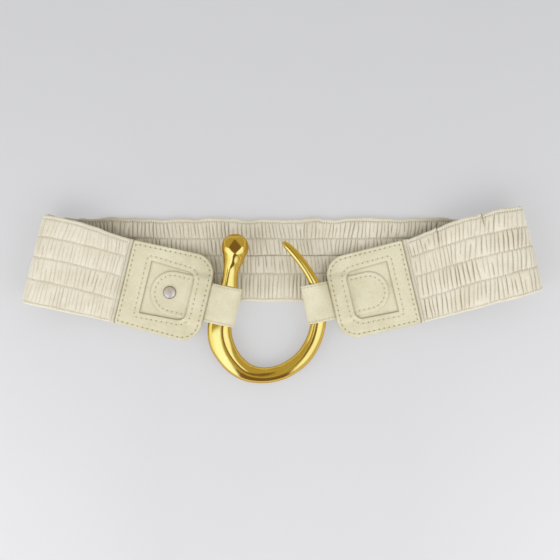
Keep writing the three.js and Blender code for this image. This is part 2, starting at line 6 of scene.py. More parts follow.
import bpy
import numpy as np
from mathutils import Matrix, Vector


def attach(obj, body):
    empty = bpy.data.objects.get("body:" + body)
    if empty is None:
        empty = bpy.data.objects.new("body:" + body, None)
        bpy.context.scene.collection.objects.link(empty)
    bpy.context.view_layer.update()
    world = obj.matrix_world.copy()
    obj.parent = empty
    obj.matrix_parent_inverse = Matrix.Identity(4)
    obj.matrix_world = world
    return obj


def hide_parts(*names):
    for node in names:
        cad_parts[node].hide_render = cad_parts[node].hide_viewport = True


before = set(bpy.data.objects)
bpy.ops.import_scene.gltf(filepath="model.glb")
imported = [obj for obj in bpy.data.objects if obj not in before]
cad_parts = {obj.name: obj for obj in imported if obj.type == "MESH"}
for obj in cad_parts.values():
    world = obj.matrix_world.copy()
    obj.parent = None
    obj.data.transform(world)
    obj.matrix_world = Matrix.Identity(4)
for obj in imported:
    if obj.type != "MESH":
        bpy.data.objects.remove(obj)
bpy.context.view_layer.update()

MM = 0.001
UP = np.array([0.0, 0.0, 1.0])

# ---- camera: straight down from 900 mm, as in the photograph ----

CAMERA_HEIGHT = 900
CAMERA_OVER = (-2.101, 11.097)
VIEW_WIDTH = 420
SENSOR = 36

camera_data = bpy.data.cameras.new("camera")
camera_data.sensor_width = SENSOR
camera_data.lens = SENSOR * CAMERA_HEIGHT / VIEW_WIDTH
camera_data.clip_end = 50
camera = bpy.data.objects.new("camera", camera_data)
camera.location = (CAMERA_OVER[0] * MM, CAMERA_OVER[1] * MM, CAMERA_HEIGHT * MM)
bpy.context.scene.collection.objects.link(camera)
bpy.context.scene.camera = camera

# ---- sizes in millimetres, as in the solids ----

GAP = 0.3
BAND_WALL = 2.0
TAIL_WALL = 1.2
GATHER_CREST = 1.2
TOP_HEM = 2.7
BOTTOM_HEM = 1.8
TAIL_STRIP = 4.0
REBATE_LENGTH = 8.5
FOLDED_LENGTH = 370
BAND_WIDTH = 61.3
BACK_FROM_BUCKLE = 86.4
FRAME_WALL = 1.2
STRAP_WALL = 1.2
STRAP_TUCK = 12
STRAP_SHEAR = 0.03
LOOP_CLEARANCE = 0.5
LOOP_EVENNESS = 0.85
CORNER_RADIUS = 15
WINDOW_RADIUS = 6
BRIDGE_RAMP = 2.0
BRIDGE_RISE = 1.5
CAP_DIAMETER = 9.6
CAP_HEIGHT = 1.8

BACK_LEVEL = 2.2
UNDER_MIDDLE = 5.7
BASE_LOW = 6.6
REBATE_FLOOR = 7.8
TAIL_MIDDLE = 8.7
BASE_TOP = 9.3
FRAME_LOW = 9.6
FRAME_TOP = 10.8
TONGUE_MIDDLE = 10.2
TONGUE_TOP = 10.8

SOURCE_SHIFT = np.array([-0.2262, -59.9829, 0.0])
BUCKLE_SPREAD = 74
BUCKLE_REACH = 96
BUCKLE_THICKNESS = 18
BALL_DIAMETER = 19.8
BUCKLE_OFFSET = -13.7
BALL_PLACE = (-0.286, 1.0)

SIDES = {
    "left": SimpleNamespace(
        sign=-1, fall=13.6, bend_lean=13, bend_height=24.5, bend_shift=0.5, bend_width=66.5, top_swell=2,
        tab=63.8, seam=63.6, end=66, win_from=16.7, win_len=34, win_w=39.5, win_end=36.6,
        tongue=29.2, tongue_w=32.6, strap_w=29, shift=-0.3, cap=35.2, arm=52.4, neck=4.4, loose=0,
    ),
    "right": SimpleNamespace(
        sign=1, fall=13.4, bend_lean=14.4, bend_height=27, bend_shift=8.2, bend_width=63.5, top_swell=3.2,
        tab=60.8, seam=63.3, end=62.2, win_from=14.6, win_len=32.2, win_w=38.2, win_end=36.2,
        tongue=28.4, tongue_w=29.8, strap_w=28.8, shift=-0.6, cap=0, arm=54, neck=3.5, loose=0.5,
    ),
}

# across, along, thickness, height over width
BUCKLE_SECTIONS = np.array([
    (-.306, .895, .8, 1), (-.319, .86, .67, 1), (-.329, .82, .61, 1), (-.338, .77, .605, .97),
    (-.35, .7, .66, .88), (-.376, .59, .79, .78), (-.416, .473, .905, .72), (-.446, .372, .98, .7),
    (-.43, .262, 1, .7), (-.358, .149, .91, .74), (-.271, .073, .84, .76), (-.157, .019, .735, .8),
    (0, 0, .65, .86), (.165, .024, .64, .86), (.293, .077, .645, .86), (.395, .145, .645, .86),
    (.464, .224, .64, .86), (.512, .307, .635, .86), (.546, .423, .625, .86), (.553, .536, .57, .88),
    (.534, .645, .465, .92), (.494, .736, .395, .95), (.432, .822, .365, 1), (.352, .909, .355, 1),
    (.279, .974, .325, 1), (.224, 1.017, .265, 1), (.204, 1.031, .185, 1),
])
BUCKLE_FOOT_ROW = 12

# out, rise, turn, flare, swell and the three stitch lines
FRONT_STATIONS = [
    (.16, .08, .1, .1, .25, .215, .45, .725), (.38, .44, .4, .35, .8, .225, .46, .72),
    (.62, .82, .7, .65, 1, .235, .465, .72), (.82, .99, .9, .9, .6, .24, .47, .72),
    (.94, .93, 1, 1, .15, .245, .475, .72),
]
BEND_STATION = (.53, .245, .475, .72)
SEAM_LINES = (.21, .45, .725)
BACK_STATIONS = [
    (.975, .17, .7, .75, .245, .465, .705), (.93, .03, .35, .4, .245, .455, .69),
    (.85, 0, .1, .1, .246, .451, .675), (.45, 0, 0, 0, .246, .451, .674),
]
MIDDLE_LINES = (.246, .451, .674)


# ---- small maths ----

def lerp(a, b, t):
    return a + (b - a) * t


def smoothstep(x, low, high):
    t = np.clip((np.asarray(x, float) - low) / (high - low), 0, 1)
    return t * t * (3 - 2 * t)


def unit(v):
    return v / np.maximum(np.linalg.norm(v, axis=-1, keepdims=True), 1e-12)


def bell(x, width):
    """1 at 0, falling off over the width."""
    return np.exp(-(x / width) ** 2)


def rounded_off(x):
    """A round shoulder: 0 at 0, 1 from 1 on."""
    return np.sqrt(np.clip(1 - (1 - np.clip(x, 0, 1)) ** 2, 0, 1))


def distances(line):
    """How far along a line each of its points lies."""
    return np.concatenate([[0], np.cumsum(np.linalg.norm(np.diff(line, axis=0), axis=1))])


def resampled(line, at, length):
    """Points of a line at the given distances."""
    return np.column_stack([np.interp(at, length, column) for column in line.T])


def hermite(a, b, m, n, w):
    return a + m * w + (-3 * a + 3 * b - 2 * m - n) * w ** 2 + (2 * a - 2 * b + m + n) * w ** 3


def noise1(x, seed, count=997):
    """Smooth seeded noise from -1 to 1 that changes over a distance of about 1."""
    table = np.random.default_rng(seed).uniform(-1, 1, count)
    i = np.floor(x).astype(int)
    f = x - i
    f = f * f * (3 - 2 * f)
    return table[i % count] * (1 - f) + table[(i + 1) % count] * f


def noise2(x, y, seed, count=211):
    table = np.random.default_rng(seed).uniform(-1, 1, (count, count))
    x, y = np.broadcast_arrays(np.asarray(x, float), np.asarray(y, float))
    i, j = np.floor(x).astype(int), np.floor(y).astype(int)
    f, g = x - i, y - j
    f, g = f * f * (3 - 2 * f), g * g * (3 - 2 * g)
    i0, i1, j0, j1 = i % count, (i + 1) % count, j % count, (j + 1) % count
    low = table[i0, j0] * (1 - f) + table[i1, j0] * f
    high = table[i0, j1] * (1 - f) + table[i1, j1] * f
    return low * (1 - g) + high * g


def rand(index, seed, count=4099):
    """A seeded number from 0 to 1 for each whole number."""
    return np.random.default_rng(seed).uniform(0, 1, count)[np.asarray(index).astype(int) % count]


def centripetal(points, place):
    """Centripetal Catmull-Rom curve through points at the given places, 0 to len - 1."""
    points = np.asarray(points, float)
    ends = (2 * points[0] - points[1], 2 * points[-1] - points[-2])
    padded = np.vstack([ends[0], points, ends[1]])
    place = np.asarray(place, float)
    row = np.clip(np.floor(place).astype(int), 0, len(points) - 2)
    w = (place - row)[:, None]
    p0, p1, p2, p3 = (padded[row + k] for k in range(4))
    step = [np.sqrt(np.linalg.norm(b - a, axis=1, keepdims=True)) for a, b in ((p0, p1), (p1, p2), (p2, p3))]
    t1 = ((p1 - p0) / step[0] - (p2 - p0) / (step[0] + step[1]) + (p2 - p1) / step[1]) * step[1]
    t2 = ((p2 - p1) / step[1] - (p3 - p1) / (step[1] + step[2]) + (p3 - p2) / step[2]) * step[1]
    return hermite(p1, p2, t1, t2, w)


def monotone(values, place):
    """Smooth interpolation of a row of values without overshoot."""
    values = np.asarray(values, float)
    place = np.asarray(place, float)
    row = np.clip(np.floor(place).astype(int), 0, len(values) - 2)
    w = place - row
    rise = np.diff(values)
    slope = np.zeros(len(values))
    same = rise[:-1] * rise[1:] > 0
    slope[1:-1][same] = 2 * rise[:-1][same] * rise[1:][same] / (rise[:-1] + rise[1:])[same]
    slope[0], slope[-1] = rise[0], rise[-1]
    return hermite(values[row], values[row + 1], slope[row], slope[row + 1], w)


# ---- mesh helpers ----

def tube_faces(rings, count, ends="capped"):
    """Faces round rings of count points, with the two ends capped, open or joined to each other."""
    i, j = np.meshgrid(np.arange(rings - (ends != "joined")), np.arange(count), indexing="ij")
    k, after = (j + 1) % count, (i + 1) % rings
    quads = np.stack([i * count + j, i * count + k, after * count + k, after * count + j], -1).reshape(-1, 4)
    faces = [tuple(face) for face in quads]
    return faces + caps(rings, count) if ends == "capped" else faces


def caps(rings, count):
    return [tuple(range(count))[::-1], tuple(range((rings - 1) * count, rings * count))]


def add_piece(name, points, faces, material, node=None, shade=None, cuts=()):
    """A smooth piece from points in millimetres, in place of a node, darkened by painted shade from 0 to 1.

    cuts are the faces that would close the piece where its neighbour goes on.
    """
    points = np.asarray(points, float).reshape(-1, 3)
    faces = [tuple(map(int, face)) for face in faces]
    mesh = bpy.data.meshes.new(name)
    mesh.from_pydata((points * MM).tolist(), [], faces)
    tri = [(f[0], f[k], f[k + 1]) for f in [*faces, *cuts] for k in range(1, len(f) - 1)]
    a, b, c = (points[np.array(tri)[:, k]] for k in range(3))
    if np.einsum("ij,ij->i", a, np.cross(b, c)).sum() < 0:
        mesh.flip_normals()
    mesh.shade_smooth()
    if shade is not None:
        attribute = mesh.attributes.new("shade", "FLOAT", "POINT")
        attribute.data.foreach_set("value", np.clip(shade, 0, 1).astype(np.float32).ravel())
    mesh.materials.append(material)
    piece = bpy.data.objects.new(name, mesh)
    bpy.context.scene.collection.objects.link(piece)
    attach(piece, "root")
    if node:
        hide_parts(node)


# share of a stitch's length, height over the leather and thickness there
STITCH_ARCH = ((0, -1.1, 0.45), (0.16, 0.25, 0.92), (0.5, 1, 1), (0.84, 0.25, 0.92), (1, -1.1, 0.45))


def stitches(starts, ends, margin, normals, radius, lift, sides=6):
    """Small arched threads from starts to ends, less a share as margin, sunk at both ends."""
    starts, ends = lerp(starts, ends, margin), lerp(starts, ends, 1 - margin)
    normals = np.broadcast_to(normals, starts.shape)
    side = unit(np.cross(normals, unit(ends - starts)))
    rings = []
    for share, height, size in STITCH_ARCH:
        centre = lerp(starts, ends, share) + normals * height * lift
        for angle in np.arange(sides) / sides * 2 * math.pi:
            rings.append(centre + (side * math.cos(angle) + normals * math.sin(angle)) * size * radius)
    points = np.stack(rings, 1)
    count = points.shape[1]
    one = tube_faces(count // sides, sides)
    faces = [tuple(v + n * count for v in f) for n in range(len(points)) for f in one]
    return points.reshape(-1, 3), faces


def join(parts):
    """Several (points, faces) as one."""
    faces, base = [], 0
    for points, part in parts:
        faces += [tuple(int(v) + base for v in face) for face in part]
        base += len(points)
    return np.vstack([points for points, _ in parts]), faces


def layered(layers):
    """A closed skin from loops of points with a height and a darkness: its points, faces and shade."""
    points = np.array([np.column_stack([loop, z]) for loop, z, _ in layers])
    shade = np.array([dark for _, _, dark in layers])
    return points.reshape(-1, 3), tube_faces(*points.shape[:2], "joined"), shade


# ---- materials ----

def srgb(r, g, b):
    def channel(v):
        v /= 255
        return v / 12.92 if v <= 0.04045 else ((v + 0.055) / 1.055) ** 2.4
    return (channel(r), channel(g), channel(b), 1)


class Nodes:
    """A tree's nodes, made and linked by name."""

    def __init__(self, tree):
        self.tree = tree

    def new(self, kind, **values):
        node = self.tree.nodes.new(kind)
        for key, value in values.items():
            if key in node.inputs:
                node.inputs[key].default_value = value
            else:
                setattr(node, key, value)
        return node

    def feed(self, socket, value):
        """Link a socket to an output, or set it."""
        if hasattr(value, "links"):
            self.tree.links.new(value, socket)
        else:
            socket.default_value = value

    def math(self, operation, *values):
        node = self.new("ShaderNodeMath", operation=operation)
        for socket, value in zip(node.inputs, values):
            self.feed(socket, value)
        return node.outputs[0]

    def mix(self, factor, a, b, blend="MIX"):
        node = self.new("ShaderNodeMix", data_type="RGBA", blend_type=blend)
        for number, value in ((0, factor), (6, a), (7, b)):
            self.feed(node.inputs[number], value)
        return node.outputs[2]

    def split(self, vector):
        node = self.new("ShaderNodeSeparateXYZ")
        self.feed(node.inputs[0], vector)
        return node.outputs

    def step(self, value, low, high):
        """0 below low, 1 above high; the other way round where low is the larger."""
        flip = float(low > high)
        node = self.new("ShaderNodeMapRange", interpolation_type="SMOOTHSTEP")
        for name, number in (("From Min", min(low, high)), ("From Max", max(low, high)), ("To Min", flip),
                             ("To Max", 1 - flip), ("Value", value)):
            self.feed(node.inputs[name], number)
        return node.outputs["Result"]


class Surface(Nodes):
    """The nodes of a material, with sizes in millimetres."""

    def __init__(self, name):
        self.material = bpy.data.materials.new(name)
        self.material.use_nodes = True
        super().__init__(self.material.node_tree)
        self.shader = self.tree.nodes["Principled BSDF"]
        self.place = self.new("ShaderNodeTexCoord").outputs["Object"]

    def noise(self, size, detail=3.0, stretch=None):
        node = self.new("ShaderNodeTexNoise", Scale=1 / (size * MM), Detail=detail)
        place = self.place
        if stretch is not None:
            mapping = self.new("ShaderNodeMapping", Scale=stretch)
            self.feed(mapping.inputs["Vector"], place)
            place = mapping.outputs["Vector"]
        self.feed(node.inputs["Vector"], place)
        return node.outputs["Fac"]

    def cells(self, size):
        node = self.new("ShaderNodeTexVoronoi", Scale=1 / (size * MM))
        self.feed(node.inputs["Vector"], self.place)
        return node.outputs["Distance"]

    def ramp(self, source, stops):
        node = self.new("ShaderNodeValToRGB")
        for element, (at, colour) in zip(node.color_ramp.elements, stops):
            element.position = at
            element.color = colour if hasattr(colour, "__len__") else (colour, colour, colour, 1)
        self.feed(node.inputs["Fac"], source)
        return node.outputs["Color"]

    def attribute(self, name):
        return self.new("ShaderNodeAttribute", attribute_name=name).outputs["Fac"]

    def bump(self, height, distance, strength=1.0, after=None):
        node = self.new("ShaderNodeBump", Strength=strength, Distance=distance * MM)
        self.feed(node.inputs["Height"], height)
        if after is not None:
            self.feed(node.inputs["Normal"], after)
        return node.outputs["Normal"]

    def finish(self, colour, rough, normal, **fixed):
        for name, value in (("Base Color", colour), ("Roughness", rough), ("Normal", normal)):
            self.feed(self.shader.inputs[name], value)
        for key, value in fixed.items():
            self.shader.inputs[key.replace("_", " ")].default_value = value
        return self.material


def leather(name, pale, deep, crease, grain_mm, grain_depth, rough, wrinkle=0.02):
    """Leather with soft colour patches and fine pores; the shade attribute paints shade into creases, stitch holes,
    grooves and edges in the crease colour.
    """
    n = Surface(name)
    patches = n.ramp(n.noise(16, 4), [(0.38, 0.0), (0.66, 1.0)])
    colour = n.mix(patches, pale, deep)
    mottle = n.ramp(n.noise(1.5, 5), [(0.3, 0.94), (0.7, 1.03)])
    colour = n.mix(1.0, colour, mottle, "MULTIPLY")
    pores = n.ramp(n.cells(grain_mm), [(0.0, 0.0), (0.55, 1.0)])
    colour = n.mix(n.math("MULTIPLY", n.math("SUBTRACT", 1.0, pores), 0.13), colour, crease)
    # painted shade from the shade attribute, mixed toward the crease colour
    colour = n.mix(n.attribute("shade"), colour, crease)
    roughness = n.ramp(n.noise(3.5, 4), [(0.3, rough - 0.06), (0.7, rough + 0.07)])
    soft = n.bump(n.noise(2.6, 4), 0.12, 0.6)
    fine = n.bump(pores, grain_depth, 0.7, soft)
    normal = n.bump(n.noise(0.35, 3), wrinkle, 0.5, fine)
    return n.finish(colour, roughness, normal, Specular_IOR_Level=0.38, Sheen_Weight=0.06, Sheen_Roughness=0.5)


def gold_metal():
    n = Surface("gold_metal")
    warm = n.ramp(n.noise(14, 3), [(0.35, (0.89, 0.61, 0.14, 1)), (0.65, (0.93, 0.65, 0.165, 1))])
    specks = n.ramp(n.noise(0.9, 6), [(0.62, 0.0), (0.78, 1.0)])
    colour = n.mix(n.math("MULTIPLY", specks, 0.12), warm, (0.5, 0.3, 0.08, 1))
    rough = n.ramp(n.noise(5, 5), [(0.3, 0.09), (0.7, 0.15)])
    normal = n.bump(n.noise(6, 2), 0.05, 0.35)
    normal = n.bump(n.noise(0.4, 5, (1, 0.25, 1)), 0.004, 0.4, normal)
    # painted shade: sides that face across or down get a darker base colour
    up = n.split(n.new("ShaderNodeNewGeometry").outputs["Normal"])[2]
    sides = n.ramp(up, [(0.2, 0.62), (0.62, 1.0)])
    colour = n.mix(1.0, colour, sides, "MULTIPLY")
    return n.finish(colour, rough, normal, Metallic=1.0, Specular_Tint=(0.8, 0.6, 0.3, 1))


def snap_metal():
    n = Surface("snap_metal")
    colour = n.ramp(n.noise(2.5, 4), [(0.3, (0.62, 0.54, 0.50, 1)), (0.7, (0.72, 0.64, 0.60, 1))])
    # painted shadow: the shade attribute darkens the rim at the cap's base
    colour = n.mix(n.attribute("shade"), colour, (0.16, 0.12, 0.10, 1))
    rough = n.ramp(n.noise(0.8, 5), [(0.3, 0.2), (0.7, 0.32)])
    return n.finish(colour, rough, n.bump(n.noise(0.6, 4), 0.01, 0.4), Metallic=0.35)


def thread(name, pale, deep):
    """Twisted sewing thread."""
    n = Surface(name)
    colour = n.mix(n.ramp(n.noise(0.5, 3), [(0.35, 0.0), (0.65, 1.0)]), pale, deep)
    rough = n.ramp(n.noise(0.3, 2), [(0.3, 0.6), (0.7, 0.8)])
    return n.finish(colour, rough, n.bump(n.noise(0.16, 2), 0.05, 0.8), Specular_IOR_Level=0.3)


TAB_LEATHER = leather("tab_leather", srgb(232, 226, 198), srgb(222, 214, 182), srgb(108, 97, 66), 0.62, 0.05, 0.52)
BAND_LEATHER = leather("gathered_leather", srgb(240, 234, 215), srgb(231, 223, 201), srgb(118, 102, 68), 0.5, 0.035,
                       0.56)
GOLD = gold_metal()
SNAP = snap_metal()
THREAD = thread("pale_thread", srgb(238, 233, 208), srgb(214, 204, 170))
DARK_THREAD = thread("brown_thread", srgb(132, 96, 70), srgb(98, 66, 46))


# ---- hook buckle ----

def buckle_rows(steps):
    """Centre, width and height along the buckle, flat in the source frame, and the place of each."""
    fine = np.linspace(0, len(BUCKLE_SECTIONS) - 1, 4000)
    across, reach = BUCKLE_SECTIONS[:, :2].T
    plan = np.column_stack([across * BUCKLE_SPREAD, reach * BUCKLE_REACH, 0 * reach])
    length = distances(centripetal(plan, fine))
    place = np.interp(np.linspace(0, length[-1], steps + 1), length, fine)
    centre = centripetal(plan, place)
    width = monotone(BUCKLE_SECTIONS[:, 2], place) * BUCKLE_THICKNESS
    height = width * monotone(BUCKLE_SECTIONS[:, 3], place)
    return centre, width, height, place


def coarse_rows():
    """The buckle as in the solids: linear sizes at 46 even steps."""
    centre, _, _, place = buckle_rows(46)
    rows = np.arange(len(BUCKLE_SECTIONS))
    width = np.interp(place, rows, BUCKLE_SECTIONS[:, 2]) * BUCKLE_THICKNESS
    return centre, width, width * np.interp(place, rows, BUCKLE_SECTIONS[:, 3]), place


ROWS = coarse_rows()


def foot_level(tilt):
    return -np.min(ROWS[0][:, 1] * math.sin(tilt) - ROWS[2] / 2)


def arm_crossing(side, measure, target):
    """Where an arm of the buckle crosses a line: its centre, width and height."""
    centre, width, height, place = ROWS
    keep = (place < BUCKLE_FOOT_ROW) == (side.sign < 0)
    centre, width, height = centre[keep], width[keep], height[keep]
    value = measure(centre) - target
    i = int(np.nonzero((value[:-1] * value[1:] <= 0) & (value[:-1] != value[1:]))[0][0])
    t = value[i] / (value[i] - value[i + 1])
    return lerp(centre[i], centre[i + 1], t), lerp(width[i], width[i + 1], t), lerp(height[i], height[i + 1], t)


def buckle_tilt():
    side = SIDES["left"]
    _, _, height = arm_crossing(side, lambda p: p[:, 1], side.arm)
    level = UNDER_MIDDLE + STRAP_WALL / 2 + LOOP_CLEARANCE + height / 2
    tilt = 0.0
    for _ in range(4):
        tilt = math.asin((level - foot_level(tilt)) / side.arm)
    return tilt


TILT = buckle_tilt()
TILT_TURN = np.array([[1, 0, 0], [0, math.cos(TILT), -math.sin(TILT)], [0, math.sin(TILT), math.cos(TILT)]])
BUCKLE_AT = np.array([BUCKLE_OFFSET, 0, foot_level(TILT)]) + SOURCE_SHIFT


def buckle_to_belt(points):
    return np.asarray(points) @ TILT_TURN.T + BUCKLE_AT


# Soft facets of the cast ball: the way each faces and its distance from the middle as a share of the radius
BALL_FACETS = [
    ((0.02, 0.02, 1.0), 0.84), ((-0.52, 0.42, 0.75), 0.915), ((0.52, 0.46, 0.73), 0.915),
    ((-0.37, -0.36, 0.86), 0.93), ((0.38, -0.34, 0.86), 0.935), ((-0.9, 0.1, 0.28), 0.94), ((0.9, 0.12, 0.28), 0.94),
    ((0.0, 0.92, 0.3), 0.94),
]


def facet_ball(points, middle, fade):
    """Points of the ball drawn in to its facets, less where it runs into the neck."""
    away = points - middle
    size = np.linalg.norm(away, axis=-1)
    way = away / np.maximum(size, 1e-9)[..., None]
    limit = np.full(size.shape, 1e9)
    for normal, share in BALL_FACETS:
        facing = way @ unit(np.array(normal))
        limit = np.minimum(limit, share * BALL_DIAMETER / 2 / np.maximum(facing, 1e-3))
    limit = np.minimum(size, limit)
    return middle + way * lerp(size, limit, fade)[..., None]


# rows of the sections, and how far the crest of the upper side lies outward there, as a share of half the width
CREST_ROWS = (0, 1.2, 2.6, 4.6, 6.2, 9.6, 11.2, 13.2, 15.4, 19.4, 21, 26)
CREST_OUT = (0, 0.16, 0.36, 0.44, -0.2, -0.2, 0, 0, -0.3, -0.3, -0.25, -0.2)
# power of the neck's section, 1 for an ellipse and more for flatter flanks
ROOF_POWER = 1.14


def hook_buckle(steps=420, sides=64, ball_steps=60):
    centre, width, height, place = buckle_rows(steps)
    crest = np.interp(place, CREST_ROWS, CREST_OUT)
    window = np.hanning(27)
    crest = np.convolve(np.pad(crest, 13, "edge"), window / window.sum(), "valid")
    power = lerp(ROOF_POWER, 1, smoothstep(place, 4.2, 6))
    along = unit(np.gradient(centre, axis=0))
    radius = BALL_DIAMETER / 2
    middle = np.array([BALL_PLACE[0] * BUCKLE_SPREAD, BALL_PLACE[1] * BUCKLE_REACH, 0])
    to_neck = unit(centre[0] - middle)
    neck_angle = math.acos(min(width[0] / BALL_DIAMETER, 1))
    angle = np.linspace(math.radians(-89.7), neck_angle * 0.8, ball_steps)
    ball_centre = middle + np.sin(angle)[:, None] * radius * to_neck
    size = 2 * radius * np.cos(angle)
    # the tip of the horn is closed by a small dome
    dome = np.radians([20, 40, 58, 74, 86])
    tip = centre[-1] + np.sin(dome)[:, None] * along[-1] * width[-1] / 2
    centre = np.vstack([ball_centre, centre, tip])
    along = np.vstack([np.repeat(to_neck[None], ball_steps, 0), along, np.repeat(along[-1:], len(dome), 0)])
    crest = np.concatenate([np.linspace(0, crest[0], ball_steps), crest, np.repeat(crest[-1:], len(dome))])
    power = np.concatenate([lerp(1, power[0], smoothstep(np.arange(ball_steps), ball_steps * 0.8, ball_steps)), power,
                            np.ones(len(dome))])
    width = np.concatenate([size, width, np.cos(dome) * width[-1]])
    height = np.concatenate([size, height, np.cos(dome) * height[-1]])
    # the neck flows into the ball: rings fill the step between them, and the sizes there are evened out
    walked = distances(centre)
    joint = walked[ball_steps - 1]
    filled = np.sort(np.append(walked, np.linspace(joint, walked[ball_steps], 20)[1:-1]))
    centre, along = (resampled(values, filled, walked) for values in (centre, along))
    crest, power, width, height = (np.interp(filled, walked, values) for values in (crest, power, width, height))
    walked = filled
    near = smoothstep(walked - joint, -7, -1) * (1 - smoothstep(walked - joint, 12, 20))
    even = np.linspace(joint - 14, joint + 28, 421)
    kernel = np.hanning(71)
    kernel /= kernel.sum()
    for values in (width, height, crest):
        smooth = np.convolve(np.interp(even, walked, values), kernel, "same")
        values[:] = lerp(values, np.interp(walked, even, smooth), near)
    power = power[:, None]
    sideways = unit(np.stack([along[:, 1], -along[:, 0], np.zeros(len(along))], 1))
    turn = np.arange(sides) / sides * 2 * math.pi
    cosine, sine = np.cos(turn)[None], np.sin(turn)[None]
    out = np.sign(cosine) * np.abs(cosine) ** power * (1 - np.sign(cosine) * crest[:, None]) + crest[:, None]
    out = np.where(sine > 0, out, cosine)
    up = np.where(sine > 0, np.abs(sine) ** power, sine)
    ring = (centre[:, None] + sideways[:, None] * (out * width[:, None] / 2)[..., None]
            + UP * (up * height[:, None] / 2)[..., None])
    fade = 1 - smoothstep(walked - joint, -4.5, 3.5)[:, None]
    points = facet_ball(buckle_to_belt(ring), buckle_to_belt(middle), fade)
    add_piece("hook_buckle_metal", points, tube_faces(len(centre), sides), GOLD, "hook_buckle")


# ---- places of the tabs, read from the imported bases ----

def node_points(name):
    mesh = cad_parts[name].data
    flat = np.empty(len(mesh.vertices) * 3, np.float32)
    mesh.vertices.foreach_get("co", flat)
    return flat.reshape(-1, 3).astype(float) / MM


for side_name, side in SIDES.items():
    turn = math.radians(-side.fall) if side.sign < 0 else math.pi + math.radians(side.fall)
    side.axis = np.array([math.cos(turn), math.sin(turn), 0])
    side.cross = np.array([-math.sin(turn), math.cos(turn), 0])
    corners = node_points(side_name + "_tab_base")
    along, cross = corners @ side.axis, corners @ side.cross
    side.at = side.axis * along.min() + side.cross * (cross.min() + cross.max()) / 2
    side.win_to = side.win_from + side.win_len


def sheared(side, points):
    """The bare strap runs a little flatter than its tab."""
    points = np.array(points, float)
    points[..., 1] -= side.sign * STRAP_SHEAR * np.maximum(points[..., 0] - side.tab, 0)
    return points


def to_belt(side, points):
    """From a tab's own frame, x from the seam to the buckle, to the belt's."""
    points = np.asarray(points, float)
    return side.at + points[..., :1] * side.axis + points[..., 1:2] * side.cross + points[..., 2:3] * UP


def into_tab(side, points):
    away = np.asarray(points) - side.at
    return np.stack([away @ side.axis, away @ side.cross, away[..., 2]], -1)


# ---- outlines in a tab's frame, all with the same number of points ----

def arc(cx, cy, radius, start, end, count):
    angle = np.radians(np.linspace(start, end, count, endpoint=False))
    return np.column_stack([cx + radius * np.cos(angle), cy + radius * np.sin(angle)])


def straight(a, b, count):
    t = np.linspace(0, 1, count, endpoint=False)[:, None]
    return lerp(np.array(a, float), np.array(b, float), t)


def rounded(x0, x1, half0, half1, near_r, far_r):
    """Outline of a tab or its window: small corners at x0, large ones at x1."""
    return np.vstack([
        arc(x0 + near_r, near_r - half0, near_r, 180, 270, 12),
        straight((x0 + near_r, -half0), (x1 - far_r, -half1), 150),
        arc(x1 - far_r, far_r - half1, far_r, -90, 0, 70),
        straight((x1, far_r - half1), (x1, half1 - far_r), 90),
        arc(x1 - far_r, half1 - far_r, far_r, 0, 90, 70),
        straight((x1 - far_r, half1), (x0 + near_r, half0), 150),
        arc(x0 + near_r, half0 - near_r, near_r, 90, 180, 12),
        straight((x0, half0 - near_r), (x0, near_r - half0), 160),
    ])


def tab_loop(side, inset):
    return rounded(inset, side.tab - inset, side.seam / 2 - inset, side.end / 2 - inset,
                   max(1.6 - inset, 0.25), CORNER_RADIUS - inset)


def window_loop(side, outset):
    return rounded(side.win_from - outset, side.win_to + outset, side.win_w / 2 + outset,
                   side.win_end / 2 + outset, 0.5 + outset * 0.6, WINDOW_RADIUS + outset)


# points along a long side, the round end and the straight end
TONGUE_SIDE, TONGUE_ROUND, TONGUE_END = 70, 190, 90


def tongue_loop(side, inset):
    """Round-ended tongue, its straight end at the window's end."""
    half = side.tongue_w / 2 - inset
    end = side.win_to - GAP - inset
    middle = side.win_to - GAP - side.tongue + side.tongue_w / 2
    return np.vstack([
        straight((end, half), (middle, half), TONGUE_SIDE), arc(middle, 0, half, 90, 270, TONGUE_ROUND),
        straight((middle, -half), (end, -half), TONGUE_SIDE), straight((end, -half), (end, half), TONGUE_END),
    ])


def along_loop(loop, pitch, closed=True, start=0.0):
    """Even points on a loop at about the given pitch."""
    line = np.vstack([loop, loop[:1]]) if closed else loop
    length = distances(line)
    count = max(int(round((length[-1] - start) / pitch)), 2)
    at = start + np.arange(count + (not closed)) * (length[-1] - start) / count
    return resampled(line, at, length)


def dimples(points, holes, radius):
    """Closeness from 0 to 1 of each point to the nearest hole."""
    near = np.min([np.sum((points - hole) ** 2, 1) for hole in holes], 0)
    return np.exp(-near / radius ** 2)


BORDER_INSET = 2.6
WINDOW_OUTSET = 3.6
TONGUE_INSET = 3.0
TAB_PITCH = 3.8
STRAP_PITCH = 2.6
HOLE_RADIUS = 0.5
WINDOW_LIFT = 0.42


def bridge_lift(side, xy):
    """Rise of the frame over the strap and tongue."""
    flat = max(side.strap_w / 2 + abs(side.shift), side.tongue_w / 2) + GAP
    over = 1 - smoothstep(np.abs(xy[:, 1]), flat - 1.2, flat + BRIDGE_RAMP + 2.4)
    return BRIDGE_RISE * over * smoothstep(xy[:, 0], side.win_to - 6, side.win_to - 0.5)


